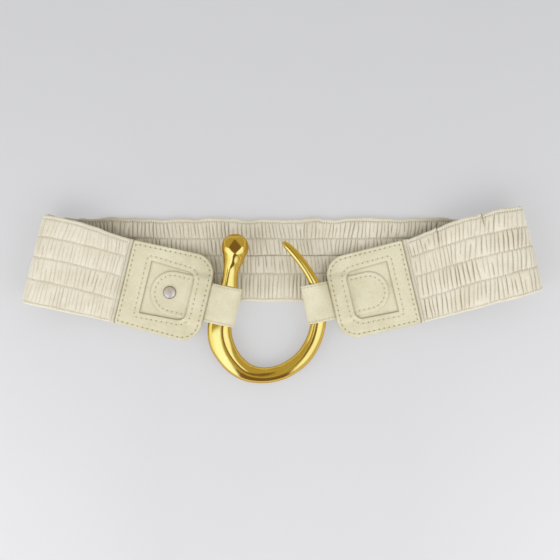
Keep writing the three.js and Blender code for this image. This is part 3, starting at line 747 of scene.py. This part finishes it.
def tab_frame(name, side, seed):
    """Upper leather of a tab: turned edges, two stitched rows and the bridge over the strap."""
    top = FRAME_WALL
    levels = [("o", 0.45, 0.0), ("o", 0.12, 0.1), ("o", 0, 0.38), ("o", 0, 0.72), ("o", 0.1, 0.98), ("o", 0.35, 1.14),
              ("o", 0.8, top), ("o", 1.4, top + 0.02), ("o", 1.9, top - 0.02), ("o", 2.25, top - 0.1),
              ("o", 2.45, top - 0.2), ("o", 2.6, top - 0.26), ("o", 2.75, top - 0.2), ("o", 2.95, top - 0.1),
              ("o", 3.3, top - 0.02), ("o", 3.9, top)]
    levels += [("m", share, top) for share in (0.12, 0.3, 0.5, 0.7, 0.88)]
    levels += [("w", 4.9, top), ("w", 4.3, top - 0.02), ("w", 3.95, top - 0.08), ("w", 3.75, top - 0.15),
               ("w", 3.6, top - 0.2), ("w", 3.45, top - 0.15), ("w", 3.25, top - 0.08), ("w", 2.8, top - 0.01),
               ("w", 2.0, top + 0.02), ("w", 1.1, top), ("w", 0.6, top - 0.05), ("w", 0.25, 1.04), ("w", 0.06, 0.84),
               ("w", 0, 0.5), ("w", 0.02, 0.2), ("w", 0.2, 0.0), ("w", 2.5, 0.0), ("m", 0.5, 0.0)]
    outer_end, window_end = tab_loop(side, 3.9), window_loop(side, 4.9)
    border = along_loop(tab_loop(side, BORDER_INSET), TAB_PITCH)
    inner = along_loop(window_loop(side, WINDOW_OUTSET), TAB_PITCH)
    layers = []
    for family, value, up in levels:
        if family == "o":
            loop = tab_loop(side, value)
        elif family == "w":
            loop = window_loop(side, value)
        else:
            loop = lerp(outer_end, window_end, value)
        x, y = loop.T
        z = np.full(len(loop), FRAME_LOW - 0.25 + up) + (0.25 if up > 0.3 else 0)
        dark = np.zeros(len(loop))
        if up > 0.9:
            z += 0.07 * noise2(x / 6, y / 6, seed) + 0.03 * noise2(x / 2.1, y / 2.1, seed + 1)
            # stitch holes are dimpled and given painted shade
            if 2.0 < value < 3.2 and family == "o":
                hole = dimples(loop, border, HOLE_RADIUS)
                z -= 0.32 * hole
                dark = 0.95 * hole
            if 3.0 < value < 4.1 and family == "w":
                hole = dimples(loop, inner, HOLE_RADIUS * 0.9)
                z -= 0.26 * hole
                dark = 0.85 * hole
        # painted shade along the window's turned edge and along the tab's outer edge, darkest at the seam end
        if family == "w" and value < 0.5 and up > 0:
            dark += 0.3
        if family == "o" and value < 0.5:
            dark += 0.15 + 0.5 * (x < 1.0)
        layers.append((loop, z + bridge_lift(side, loop), dark))
    points, faces, shade = layered(layers)
    add_piece(name + "_upper_leather", to_belt(side, points), faces, TAB_LEATHER, name + "_frame",
              shade)
    rows = []
    for drop, holes in ((0.26, border), (0.2, inner)):
        spots = to_belt(side, np.column_stack([holes, FRAME_TOP - drop + bridge_lift(side, holes)]))
        rows.append(stitches(spots, np.roll(spots, -1, 0), 0.17, UP, 0.28, 0.16))
    return rows


def tab_base(name, side, seed):
    """Lower leather of a tab, with the panel that shows in the window and room for the band's end."""
    levels = [(0.5, BASE_LOW), (0.12, BASE_LOW + 0.12), (0, BASE_LOW + 0.5), (0, BASE_LOW + 1.3), (0, BASE_TOP - 0.6),
              (0.1, BASE_TOP - 0.25), (0.35, BASE_TOP - 0.06), (0.8, BASE_TOP), (2.4, BASE_TOP), (4, BASE_TOP)]
    middle = np.array([side.tab / 2, 0])
    inner, rim = tab_loop(side, 4), window_loop(side, -0.7)
    shapes = [(tab_loop(side, inset), z) for inset, z in levels]
    shapes += [(lerp(inner, window_loop(side, 1.5), share), BASE_TOP) for share in (0.4, 0.8, 1)]
    shapes += [(window_loop(side, outset), BASE_TOP + up) for outset, up in
               ((0.3, 0), (0.05, 0.3), (-0.05, 0.38), (-0.35, 0.42))]
    shapes += [(lerp(rim, middle, share), BASE_TOP + WINDOW_LIFT) for share in np.linspace(0, 0.999, 16)]
    shapes += [(lerp(inner, middle, share), BASE_LOW) for share in (0.999, 0.5, 0.05)]
    layers = []
    for loop, level in shapes:
        x, y = loop.T
        z, dark = np.full(len(loop), float(level)), np.zeros(len(loop))
        if level > BASE_LOW + 1.35:
            down = 1 - smoothstep(x, REBATE_LENGTH - 0.4, REBATE_LENGTH)
            z = lerp(z, np.minimum(z, REBATE_FLOOR), down) + (0.06 * noise2(x / 5, y / 5, seed) - 0.02) * (1 - down)
            # painted shade: the panel darkens from just inside the window's edge to where the frame covers it
            window_half = np.interp(x, [side.win_from, side.win_to], [side.win_w / 2, side.win_end / 2])
            outside = np.maximum.reduce([side.win_from - x, x - side.win_to, np.abs(y) - window_half])
            dark = 0.3 * smoothstep(outside, -1.6, 0.2)
        layers.append((loop, z, dark))
    points, faces, shade = layered(layers)
    add_piece(name + "_lower_leather", to_belt(side, points), faces, TAB_LEATHER, name + "_base",
              shade)


# ---- straps ----

def arm_cut(side, across):
    def measure(points):
        return into_tab(side, buckle_to_belt(points))[:, 1]
    centre, width, height = arm_crossing(side, measure, across)
    room = LOOP_CLEARANCE + STRAP_WALL / 2
    return into_tab(side, buckle_to_belt(centre[None]))[0], width / 2 + room, height / 2 + room


def touch_angle(x, z, centre, half_x, half_z, way):
    px, pz = (x - centre[0]) / half_x, (z - centre[2]) / half_z
    opening = math.acos(1 / max(math.hypot(px, pz), 1))
    return (math.atan2(pz, px) + 2 * math.pi) % (2 * math.pi) + way * opening


def strap_line(side, across, farthest, steps=60):
    """Middle line of a strap in its tab's frame, from inside the window round the arm and back."""
    centre, half_x, half_z = arm_cut(side, across)
    leave = side.tab + STRAP_WALL / 2
    first = touch_angle(leave, TONGUE_MIDDLE, centre, half_x, half_z, -1)
    last = touch_angle(leave, UNDER_MIDDLE, centre, half_x, half_z, 1) - 2 * math.pi
    far = lerp(half_x, farthest - centre[0], LOOP_EVENNESS)
    angle = np.linspace(first, last, steps)
    half = np.where(np.cos(angle) > 0, far, half_x)
    loop = np.column_stack([centre[0] + half * np.cos(angle), centre[2] + half_z * np.sin(angle)])
    start = side.win_to - 3
    head = np.column_stack([np.linspace(start, leave, 14), np.full(14, TONGUE_MIDDLE - 0.05)])
    tail = np.column_stack([np.linspace(leave, side.tab - STRAP_TUCK, 10), np.full(10, UNDER_MIDDLE)])
    return np.vstack([head, loop, tail])


def even_line(line, count):
    length = distances(line)
    even = resampled(line, np.linspace(0, length[-1], count), length)
    kernel = np.array([1, 2, 3, 2, 1]) / 9
    even[2:-2] = np.column_stack([np.convolve(column, kernel, "valid") for column in even.T])
    return even


def strap(name, side, seed, rows=190, slices=40):
    half = side.strap_w / 2
    share = np.linspace(-1, 1, slices + 1)
    share = np.sign(share) * (1 - (1 - np.abs(share)) ** 1.35)
    across = side.shift + share * half
    cuts = [arm_cut(side, a) for a in side.shift + np.linspace(-half, half, 5)]
    farthest = max(c[0][0] + c[1] for c in cuts) + side.loose
    lines = np.array([even_line(strap_line(side, a, farthest), rows) for a in across])
    way = unit(np.gradient(lines, axis=1))
    normal = np.stack([-way[..., 1], way[..., 0]], -1)
    in_from_edge = half - np.abs(across - side.shift)
    thin = STRAP_WALL / 2 * (0.25 + 0.75 * rounded_off(in_from_edge / 0.6))[:, None]
    stitch_dip = 0.16 * bell(in_from_edge - 1.5, 0.35)[:, None]
    wave = 0.05 * noise2(np.arange(rows)[None] / 14, across[:, None] / 6, seed)
    y = np.repeat(across[:, None], rows, 1)
    outer, inner = (np.stack([lines[..., 0] + normal[..., 0] * out, y, lines[..., 1] + normal[..., 1] * out], -1)
                    for out in (thin - stitch_dip + wave, -thin))
    ring = np.concatenate([outer, inner[::-1]], 0).transpose(1, 0, 2)
    # painted shade along the stitch rows, darker at each stitch hole
    walked = distances(lines[slices // 2])
    holes = 0.35 + 0.65 * (0.5 + 0.5 * np.cos(2 * math.pi * walked / STRAP_PITCH))
    row_shade = 0.5 * bell(in_from_edge - 1.5, 0.4)[None] * holes[:, None]
    shade = np.concatenate([row_shade, 0 * row_shade], 1)
    body = (sheared(side, ring.reshape(-1, 3)), tube_faces(rows, ring.shape[1]))
    tongue_points, tongue_faces, tongue_shade, tongue_rows = tongue(side, seed + 5)
    points, faces = join([body, (tongue_points, tongue_faces)])
    add_piece(name + "_leather", to_belt(side, points), faces, TAB_LEATHER, name,
              np.concatenate([shade.ravel(), tongue_shade.ravel()]))
    threads = [tongue_rows]
    # stitched rows near both edges, on the loop's outer face
    for edge in (-1, 1):
        a = side.shift + edge * (half - 1.5)
        line = even_line(strap_line(side, a, farthest), 700)
        step = distances(line)
        shown = np.arange(side.tab - line[0, 0] + 1.2, step[-1] - STRAP_TUCK, STRAP_PITCH)
        spot = resampled(line, shown, step)
        tangent = unit(np.gradient(spot, axis=0))
        out = np.column_stack([-tangent[:, 1], np.zeros(len(spot)), tangent[:, 0]])
        place = np.column_stack([spot[:, 0], np.full(len(spot), a), spot[:, 1]]) + out * (STRAP_WALL / 2 - 0.13)
        place = to_belt(side, sheared(side, place))
        out = out[:, :1] * side.axis + out[:, 2:] * UP
        threads.append(stitches(place[:-1], place[1:], 0.12, unit(out[:-1] + out[1:]), 0.2, 0.14))
    return threads


def tongue(side, seed):
    """Round-ended tongue in the window, with a stitched row along its curve."""
    top = TONGUE_TOP
    low = BASE_TOP + WINDOW_LIFT + 0.08
    levels = [(0.5, low), (0.12, low + 0.1), (0, low + 0.45), (0, top - 0.6), (0.1, top - 0.26), (0.35, top - 0.08),
              (0.8, top), (1.6, top + 0.02), (2.3, top - 0.02), (2.65, top - 0.1), (2.85, top - 0.17),
              (3.0, top - 0.2), (3.15, top - 0.17), (3.4, top - 0.09), (3.9, top - 0.02), (5, top), (6.5, top),
              (8, top), (9.5, top)]
    loops = [(tongue_loop(side, inset), z) for inset, z in levels]
    last_loop = loops[-1][0]
    middle = (last_loop.min(0) + last_loop.max(0)) / 2
    loops += [(lerp(last_loop, middle, share), top) for share in (0.25, 0.5, 0.75, 0.999)]
    loops += [(lerp(last_loop, middle, 0.999), low)]
    holes = along_loop(tongue_loop(side, TONGUE_INSET)[:-TONGUE_END], 3.6, closed=False, start=0.6)
    layers = []
    for loop, level in loops:
        z, dark = np.full(len(loop), float(level)), np.zeros(len(loop))
        if level > top - 0.3:
            # stitch holes are dimpled and given painted shade
            hole = dimples(loop, holes, HOLE_RADIUS * 0.9)
            z += 0.05 * noise2(loop[:, 0] / 5, loop[:, 1] / 5, seed) - 0.24 * hole
            dark = 0.8 * hole
        layers.append((loop, z, dark))
    spots = to_belt(side, np.column_stack([holes, np.full(len(holes), top - 0.2)]))
    return *layered(layers), stitches(spots[:-1], spots[1:], 0.17, UP, 0.26, 0.15)


def snap_cap(side, segments=96):
    """Domed cap; its profile gives shares of the radius and of the height."""
    profile = np.array([(0.9, 0), (0.985, 0.04), (1, 0.14), (0.985, 0.26), (0.94, 0.34), (0.9, 0.38), (0.88, 0.46),
                        (0.85, 0.58), (0.78, 0.72), (0.66, 0.84), (0.5, 0.93), (0.32, 0.98), (0.15, 1), (0.02, 1)])
    angle = np.arange(segments) / segments * 2 * math.pi
    out, up = np.repeat(profile, segments, 0).T
    angle = np.tile(angle, len(profile))
    reach = out * CAP_DIAMETER / 2
    points = np.column_stack([side.cap + np.cos(angle) * reach, np.sin(angle) * reach,
                              TONGUE_TOP + 0.04 + up * (CAP_HEIGHT + 0.22)])
    # painted shadow round the lower rim of the cap, passed on as the shade attribute
    add_piece("left_snap_cap_metal", to_belt(side, points), tube_faces(len(profile), segments), SNAP,
              "left_snap_cap", 0.75 * (1 - smoothstep(up, 0.36, 0.62)))


# ---- gathered band ----

def seam_point(side, beyond):
    return to_belt(side, np.array([-beyond, 0, TAIL_MIDDLE]))


def side_stations(side):
    """Stations from a tab's tail to the back: centre, lean, width, three stitch lines and 1 where it lies pressed."""
    strip = seam_point(side, TAIL_STRIP)
    half = FOLDED_LENGTH / 2 - BAND_WALL / 2 - GATHER_CREST
    bend = np.array([side.sign * half, BACK_FROM_BUCKLE + side.bend_shift, 0]) + SOURCE_SHIFT
    tab_lean, bend_lean = -side.sign * side.fall, -side.sign * side.bend_lean
    rows = [(seam_point(side, beyond), tab_lean, side.seam, SEAM_LINES, 0)
            for beyond in (GAP - REBATE_LENGTH, 0, TAIL_STRIP)]
    for out, rise, turn, flare, swell, *lines in FRONT_STATIONS:
        at = lerp(strip, bend, out)
        swell *= side.top_swell
        at[1] += swell / 2
        at[2] = lerp(TAIL_MIDDLE, side.bend_height, rise)
        width = lerp(side.seam, side.bend_width, flare) + swell
        rows.append((at, lerp(tab_lean, bend_lean, turn), width, lines, 0))
    outermost = bend.copy()
    outermost[2] = lerp(BACK_LEVEL, side.bend_height, BEND_STATION[0])
    rows.append((outermost, bend_lean, side.bend_width, BEND_STATION[1:], 0))
    for out, rise, turn, flare, *lines in BACK_STATIONS:
        at = np.array([side.sign * half * out + SOURCE_SHIFT[0], lerp(BACK_MIDDLE[1], bend[1], turn),
                       lerp(BACK_LEVEL, side.bend_height, rise)])
        rows.append((at, bend_lean * turn, lerp(BAND_WIDTH, side.bend_width, flare), lines, 0 if rise > 0 else 1))
    return rows


BACK_MIDDLE = SOURCE_SHIFT + (0, BACK_FROM_BUCKLE, BACK_LEVEL)
STATIONS = side_stations(SIDES["left"]) + [(BACK_MIDDLE, 0, BAND_WIDTH, MIDDLE_LINES, 1)]
STATIONS += side_stations(SIDES["right"])[::-1]
SPINE = np.array([row[0] for row in STATIONS])
FINE_PLACE = np.linspace(0, len(SPINE) - 1, 9000)
FINE_LINE = centripetal(SPINE, FINE_PLACE)
FINE_LENGTH = distances(FINE_LINE)
BAND_LENGTH = FINE_LENGTH[-1]
STATION_AT = np.interp(np.arange(len(SPINE)), FINE_PLACE, FINE_LENGTH)
LEFT_BEND, RIGHT_BEND = STATION_AT[8], STATION_AT[len(SPINE) - 9]
STRIPS = (STATION_AT[2], STATION_AT[len(SPINE) - 3])

# pitch, relief, strength of painted shade and lean of the gathers: left front, back, right front
PITCHES = (2.9, 2.9, 3.3)
RELIEFS = (0.75, 1.05, 1.12)
PAINTED_SHADE_STRENGTH = (0.42, 0.82, 0.76)
# lean of the creases over a panel, in pitches
SLANTS = (0, 0.25, 0.6)
LINE_SEEDS = (11, 23, 37, 51)
STITCH_PITCH = 1.75
# steps in the ruffled top edge of the right front: distance from the seam and depth
RUFFLES = ((27.0, 0.9), (62.0, 2.0))
BACK_SAG = 0.95


def by_part(s, values):
    """A value for the left front, the back and the right front, blended in the bends."""
    right = smoothstep(s, RIGHT_BEND - 12, RIGHT_BEND + 12)
    back = smoothstep(s, LEFT_BEND - 12, LEFT_BEND + 12)
    return lerp(lerp(values[0], values[1], back), values[2], right)


PHASE_S = np.linspace(0, BAND_LENGTH, 6000)
PHASE = np.concatenate([[0], np.cumsum(np.diff(PHASE_S) / by_part(PHASE_S, PITCHES)[1:])])


def band_channels(s):
    place = np.interp(s, FINE_LENGTH, FINE_PLACE)
    centre = centripetal(SPINE, place)
    lean = np.radians(monotone([row[1] for row in STATIONS], place))
    width = monotone([row[2] for row in STATIONS], place)
    lines = np.stack([monotone([row[3][k] for row in STATIONS], place) for k in range(3)], 1)
    pressed = smoothstep(np.interp(place, np.arange(len(STATIONS)), [row[4] for row in STATIONS]), 0.6, 1)
    ahead = centripetal(SPINE, np.clip(place + 0.01, 0, len(SPINE) - 1))
    behind = centripetal(SPINE, np.clip(place - 0.01, 0, len(SPINE) - 1))
    across = np.stack([np.sin(lean), np.cos(lean), np.zeros_like(lean)], 1)
    inward = unit(np.cross(unit(ahead - behind), across))
    live = smoothstep(s, STRIPS[0] - 1.4, STRIPS[0] + 0.6) * (1 - smoothstep(s, STRIPS[1] - 0.6, STRIPS[1] + 1.4))
    return centre, across, inward, width, lines, pressed, live


def gather(s, tau, panel, face):
    """Relief from 0 to 1 and painted crease shade at share tau down a panel: each crease runs from line to line."""
    seed = LINE_SEEDS[panel] + 100 * face
    phase = np.interp(s, PHASE_S, PHASE) + 0.61 * panel + 0.37 * face
    phase = phase + 0.5 * noise1(s / 21, seed) + (tau - 0.5) * (0.9 * noise1(s / 27, seed + 1) - by_part(s, SLANTS))
    first = np.floor(phase).astype(int)
    height, dark = np.ones(len(s)), np.zeros(len(s))
    for step in (-1, 0, 1, 2):
        crease = first + step
        at = crease + 0.36 * (rand(crease, seed + 2) - 0.5) + (tau - 0.5) * 0.55 * (rand(crease, seed + 3) - 0.5)
        away = phase - at - 0.08 * noise2(crease * 0.7, tau * 2.4, seed + 4)
        starts = 0.45 * np.clip(rand(crease, seed + 6) - 0.82, 0, 1) / 0.18
        ends = 1 - 0.45 * np.clip(rand(crease, seed + 7) - 0.82, 0, 1) / 0.18
        reach = smoothstep(tau, starts - 0.12, starts + 0.1) * (1 - smoothstep(tau, ends - 0.1, ends + 0.12))
        depth = (0.64 + 0.36 * rand(crease, seed + 5)) * (0.1 + 0.9 * reach)
        height = height - depth * (0.46 * bell(away, 0.32) + 0.54 * bell(away, 0.11))
        dark = np.maximum(dark, depth ** 1.4 * bell(away, 0.1) + 0.1 * depth * bell(away, 0.3))
    patch = np.clip(0.86 + 0.34 * noise2(s / 13, tau * 0.7, seed + 9), 0.5, 1.12)
    return 1 - (1 - np.clip(height, 0, 1)) * patch, dark * patch


def band_surface(s, share, face):
    """Points and painted shade on a face of the band (0 outer, 1 inner) at lengths s and shares across from the top.
    """
    centre, across, inward, width, lines, pressed, live = band_channels(s)
    marks = np.column_stack([TOP_HEM / width, lines, 1 - BOTTOM_HEM / width])
    wander = np.stack([0.3 * noise1(s / 9 + 7 * k, 300 + k) for k in range(5)], 1) / width[:, None]
    marks = marks + wander * live[:, None]
    index = np.floor(share + 1e-6).astype(int)
    part = share - index
    bounds = np.column_stack([np.zeros(len(s)), marks, np.ones(len(s))])
    rows = np.arange(len(s))
    at = lerp(bounds[rows, np.minimum(index, 5)], bounds[rows, np.minimum(index + 1, 6)], part)
    height, dark = np.zeros(len(s)), np.zeros(len(s))
    for k in range(4):
        inside = index == k + 1
        if inside.any():
            h, d = gather(s[inside], part[inside], k, face)
            middle = np.sin(math.pi * np.clip(part[inside], 0, 1))
            height[inside] = h * (0.2 + 0.8 * middle ** 0.45)
            dark[inside] = d * (0.35 + 0.65 * middle ** 0.5)
    # fine pucker along the stitched lines and in the hems, a hole at each stitch; painted shade in the pucker's
    # hollows, the stitch grooves, the holes and the seams
    from_mark = np.abs(at[:, None] - marks).min(1) * width
    pucker_phase = np.interp(s, PHASE_S, PHASE) * 1.9
    pucker = np.abs(np.sin(math.pi * (pucker_phase + 0.3 * noise1(s / 5, 77 + face))))
    near = bell(from_mark, 1.5)
    height = height + 0.16 * near * pucker
    hem = (index == 0) | (index == 5)
    height = np.where(hem, 0.3 + 0.22 * pucker * bell(from_mark, 1.4), height)
    groove = bell(from_mark, 0.45)
    holes = (0.5 + 0.5 * np.cos(2 * math.pi * s / STITCH_PITCH)) ** 2 * bell(from_mark, 0.4)
    holes = holes * np.clip(0.75 + 0.5 * noise1(s / 6, 320 + face), 0.2, 1)
    seam = bell(s - STRIPS[0] + 1.5, 0.3) + bell(s - STRIPS[1] - 1.5, 0.3)
    relief = live * (GATHER_CREST * by_part(s, RELIEFS) * 0.86 * height - 0.26 * groove) - 0.2 * seam
    shown = by_part(s, PAINTED_SHADE_STRENGTH)
    dark = live * (shown * (1.0 * dark + 0.12 * near * (1 - pucker)) + 0.09 * groove + (0.33 + 0.3 * shown) * holes)
    dark = dark + 0.45 * seam
    # painted shadow where the band goes under the tab's edge
    tail = np.minimum(np.abs(s - STATION_AT[1]), np.abs(s - STATION_AT[-2]))
    dark = np.maximum(dark, 0.6 * bell(tail, 0.45))
    wall = lerp(TAIL_WALL, BAND_WALL, live)
    from_edge = np.minimum(at, 1 - at) * width
    edge = rounded_off(from_edge / 1.1)
    half = wall / 2 * (0.3 + 0.7 * edge)
    flute = 0.45 * np.exp(-from_edge / 3.5) * noise1(s / 2.6, 500) * live
    billow = 0.35 * live * (1 - pressed) * noise2(s / 16, at * 3.2, 600)
    top = at < 0.5
    scallop = np.where(top, 0.9, 0.45) * noise1(s / 13, 510) + np.where(top, 0.5, 0.2) * noise1(s / 4.4, 511)
    scallop = scallop * by_part(s, (0.35, 1, 0.8))
    # the back hangs a little lower inside the buckle
    sag = BACK_SAG * by_part(s, (0, 1, 0)) * (1 - smoothstep(np.abs(centre[:, 0]), 30, 60))
    scallop = (scallop + np.where(top, 0, sag)) * np.exp(-from_edge / 6)
    for from_seam, depth in RUFFLES:
        beyond = STATION_AT[-2] - from_seam - s
        step_in = np.where(beyond > 0, smoothstep(beyond, 0, 0.8) * np.exp(-np.maximum(beyond, 0) / 9), 0)
        fade = np.exp(-from_edge / 7) * top
        scallop = scallop - depth * step_in * fade
        flute = flute - 0.35 * depth * np.where(beyond > 0, step_in, -np.exp(beyond / 3)) * fade
        # painted shade in the step of each ruffle
        dark = np.maximum(dark, 0.85 * bell(beyond - 0.4, 0.45) * top * (1 - smoothstep(from_edge, 6, 13)))
    offset = width * (0.5 - at) + live * scallop * np.sign(0.5 - at)
    base = centre + across * offset[:, None]
    if face == 0:
        out = lerp(half + relief * edge - flute - billow, half + 0.25 * relief, pressed)
        flat = BAND_WALL / 2 + GATHER_CREST - 0.12 * (1 - edge) - 0.05 * dark
        out = lerp(out, np.maximum(flat, 0), pressed)
        points = base - inward * out[:, None]
    else:
        points = base + inward * (half + relief * edge + flute * (1 - 0.6 * pressed) + billow)[:, None]
    points[:, 2] = np.maximum(points[:, 2], 0)
    # the back is darker towards the bends, where the front halves shade it
    if face == 1:
        dark = dark + 0.4 * smoothstep(np.abs(centre[:, 0]), 62, 130)
    return points, np.clip(dark, 0, 1)


# rows across the band: top hem, four panels and bottom hem, fine on the face that shows
SHOWN_ROWS = (0, 0.03, 0.1, 0.22, 0.36, 0.5, 0.64, 0.78, 0.9, 0.97)
HIDDEN_ROWS = (0, 0.12, 0.5, 0.88)


def face_shares(fine):
    """Shares across one face, from the top edge to the bottom edge."""
    hem = (0.0, 0.12, 0.45, 0.85) if fine else (0.0, 0.3, 0.85)
    panels = [k + 1 + v for k in range(4) for v in (SHOWN_ROWS if fine else HIDDEN_ROWS)]
    return np.array([*hem, *panels, 5.0, *(5.999 - 0.999 * v for v in reversed(hem))])


def band_part(name, start, end, shown_face, step, capped):
    """A stretch of the band, capped where it ends inside a tab."""
    s = np.linspace(start, end, int(round((end - start) / step)) + 1)
    points, shades = [], []
    for face in (0, 1):
        shares = face_shares(face == shown_face)
        ss, hh = np.meshgrid(s, shares, indexing="ij")
        spots, dark = band_surface(ss.ravel(), hh.ravel(), face)
        spots, dark = spots.reshape(len(s), -1, 3), dark.reshape(len(s), -1)
        points.append(spots if face == 0 else spots[:, ::-1])
        shades.append(dark if face == 0 else dark[:, ::-1])
    ring, shade = np.concatenate(points, 1), np.concatenate(shades, 1)
    count = ring.shape[1]
    ends = list(zip(caps(len(s), count), capped))
    faces = tube_faces(len(s), count, "open") + [cap for cap, closed in ends if closed]
    add_piece(name, ring, faces, BAND_LEATHER, "ruched_band", shade,
              [cap for cap, closed in ends if not closed])


def band_stitches():
    """Threads along the stitched lines and hems of both faces; part of the middle line is darker."""
    pale, dark = [], []
    s = np.arange(math.ceil((STRIPS[0] - 1) / STITCH_PITCH) * STITCH_PITCH, STRIPS[1] + 1, STITCH_PITCH)
    _, _, inward, _, _, pressed, _ = band_channels(s)
    for line in range(5):
        for face in (0, 1):
            points, _ = band_surface(s, np.full(len(s), line + 1.0), face)
            normal = inward * (1 if face else -1)
            sink = 0.38 * pressed[:, None] if face == 0 else 0
            points = points + normal * (0.06 - sink)
            a, b, n = points[:-1], points[1:], normal[:-1]
            brown = np.zeros(len(a), bool)
            if line == 2 and face == 1:
                x = a[:, 0]
                brown = ((x > -104) & (x < -72)) | ((x > -28) & (x < 44))
            pale.append(stitches(a[~brown], b[~brown], 0.2, n[~brown], 0.19, 0.14, 5))
            if brown.any():
                dark.append(stitches(a[brown], b[brown], 0.296, n[brown], 0.36, 0.2))
    for name, parts, material in (("band_thread", pale, THREAD), ("band_brown_thread", dark, DARK_THREAD)):
        points, faces = join(parts)
        add_piece(name, points, faces, material)


# ---- build ----

hook_buckle()
band_part("left_front_leather", 0, LEFT_BEND, 0, 0.2, (True, False))
band_part("back_leather", LEFT_BEND, RIGHT_BEND, 1, 0.29, (False, False))
band_part("right_front_leather", RIGHT_BEND, BAND_LENGTH, 0, 0.2, (False, True))
band_stitches()
for number, (side_name, side) in enumerate(SIDES.items()):
    threads = tab_frame(side_name + "_tab", side, 700 + number)
    tab_base(side_name + "_tab", side, 720 + number)
    threads += strap(side_name + "_strap", side, 740 + number)
    thread_points, thread_faces = join(threads)
    add_piece(side_name + "_tab_thread", thread_points, thread_faces, THREAD)
snap_cap(SIDES["left"])

# ---- floor, light and colour ----

floor_mesh = bpy.data.meshes.new("floor")
floor_mesh.from_pydata([(-4, -4, -0.0002), (4, -4, -0.0002), (4, 4, -0.0002), (-4, 4, -0.0002)], [], [(0, 1, 2, 3)])
floor = bpy.data.objects.new("floor", floor_mesh)
bpy.context.scene.collection.objects.link(floor)
paper = Surface("floor_paper")
# painted light: the paper is a little paler towards the front, and there towards its sides
x, y, _ = paper.split(paper.place)
painted_side_light = paper.ramp(paper.math("ABSOLUTE", x), [(0.09, 0.94), (0.22, 1.03)])
front = paper.mix(1.0, (0.81, 0.81, 0.826, 1), painted_side_light, "MULTIPLY")
paper_with_painted_light = paper.mix(paper.step(y, -0.3, 0.28), front, (0.65, 0.653, 0.672, 1))
paper.feed(paper.shader.inputs["Emission Color"], paper_with_painted_light)
# painted light: the paper glows a little, like the table of a light tent, and lifts the shade around the belt
floor_mesh.materials.append(paper.finish(
    paper.mix(1.0, paper_with_painted_light, paper.ramp(paper.noise(60, 3), [(0.3, 0.49), (0.7, 0.5)]), "MULTIPLY"),
    paper.ramp(paper.noise(4, 3), [(0.3, 0.8), (0.7, 0.9)]),
    paper.bump(paper.noise(0.8, 4), 0.02, 0.2),
    Specular_IOR_Level=0.15, Emission_Strength=0.5,
))


def softbox(name, at, target, size, energy):
    """Soft light that polished metal doesn't mirror; its reflections come from the studio's walls."""
    light = bpy.data.lights.new(name, "AREA")
    light.shape = "RECTANGLE"
    light.size, light.size_y = size
    light.energy = energy
    light.color = (1, 0.985, 0.965)
    lamp = bpy.data.objects.new(name, light)
    bpy.context.scene.collection.objects.link(lamp)
    lamp.location = at
    lamp.rotation_euler = (Vector(target) - Vector(at)).to_track_quat("-Z", "Y").to_euler()
    lamp.visible_glossy = False


softbox("left_box", (-1.1, -0.6, 0.9), (0, 0, 0), (1.3, 1.3), 7.0)
softbox("right_box", (1.1, -0.6, 1.0), (0, 0, 0), (1.3, 1.3), 5.5)
softbox("front_box", (0.0, -0.95, 0.9), (0, -0.15, 0), (1.8, 1.0), 4.5)

world = bpy.data.worlds.new("studio")
bpy.context.scene.world = world
world.use_nodes = True


class Sky(Nodes):
    """Brightness of the studio by direction, from soft steps along the axes."""

    def both(self, *masks):
        result = masks[0]
        for mask in masks[1:]:
            result = self.math("MULTIPLY", result, mask)
        return result

    def blend(self, below, above, mask):
        """Colour below where the mask is 0, above where it is 1."""
        return self.mix(mask, *((*value, 1) if isinstance(value, tuple) else value for value in (below, above)))


sky = Sky(world.node_tree)
x, y, z = sky.split(sky.new("ShaderNodeTexCoord").outputs["Generated"])
step, both = sky.step, sky.both
wide = sky.math("ABSOLUTE", x)
# how far to the back and to the front a direction points, for its distance to the side
turned = sky.math("SUBTRACT", y, sky.math("MULTIPLY", wide, 0.2))
frontal = sky.math("ADD", y, sky.math("MULTIPLY", wide, 2.4))
slanted = sky.math("ADD", x, sky.math("MULTIPLY", y, 0.3))
left_low = both(step(z, 0.5, 0.4), step(turned, 0.12, 0.0))
left_wall = both(step(x, 0.0, -0.07), sky.math("MAXIMUM", step(y, -0.2, -0.28), left_low), step(frontal, -0.1, 0.1))
left_glow = both(left_wall, step(x, -0.06, -0.22), step(x, -0.95, -0.6))
right_wall = both(step(x, 0.2, 0.27), step(turned, -0.03, -0.13), step(frontal, -0.1, 0.1), step(z, 0.05, 0.6))
camera_stand = both(step(slanted, -0.09, -0.04), step(slanted, 0.2, 0.14), step(y, 0.5, 0.4), step(y, -0.5, -0.4),
                    step(z, 0.5, 0.6))
front_stand = both(step(frontal, 0.1, -0.1), step(y, -0.58, -0.66), step(z, 0.06, 0.16))
mirrored = (0.46, 0.42, 0.2)
for colour, mask in (((1.02, 1.2, 1.3), left_wall), ((1.1, 1.5, 2.5), left_glow), ((1.08, 1.35, 2.0), right_wall),
                     ((0.2, 0.14, 0.09), camera_stand), ((0.19, 0.125, 0.08), front_stand)):
    mirrored = sky.blend(mirrored, colour, mask)
# what lights the leather is even, a little darker straight above
even = sky.blend((0.57, 0.57, 0.57), (0.44, 0.44, 0.44), step(z, 0.8, 1.0))
even = sky.blend(even, (1.15, 1.15, 1.15), both(step(wide, 0.6, 0.85), step(z, 0.65, 0.4)))
background = world.node_tree.nodes["Background"]
background.inputs["Strength"].default_value = 1.0
glossy = sky.new("ShaderNodeLightPath").outputs["Is Glossy Ray"]
sky.feed(background.inputs["Color"], sky.blend(even, mirrored, glossy))

bpy.context.scene.view_settings.view_transform = "Standard"
bpy.context.scene.view_settings.look = "None"
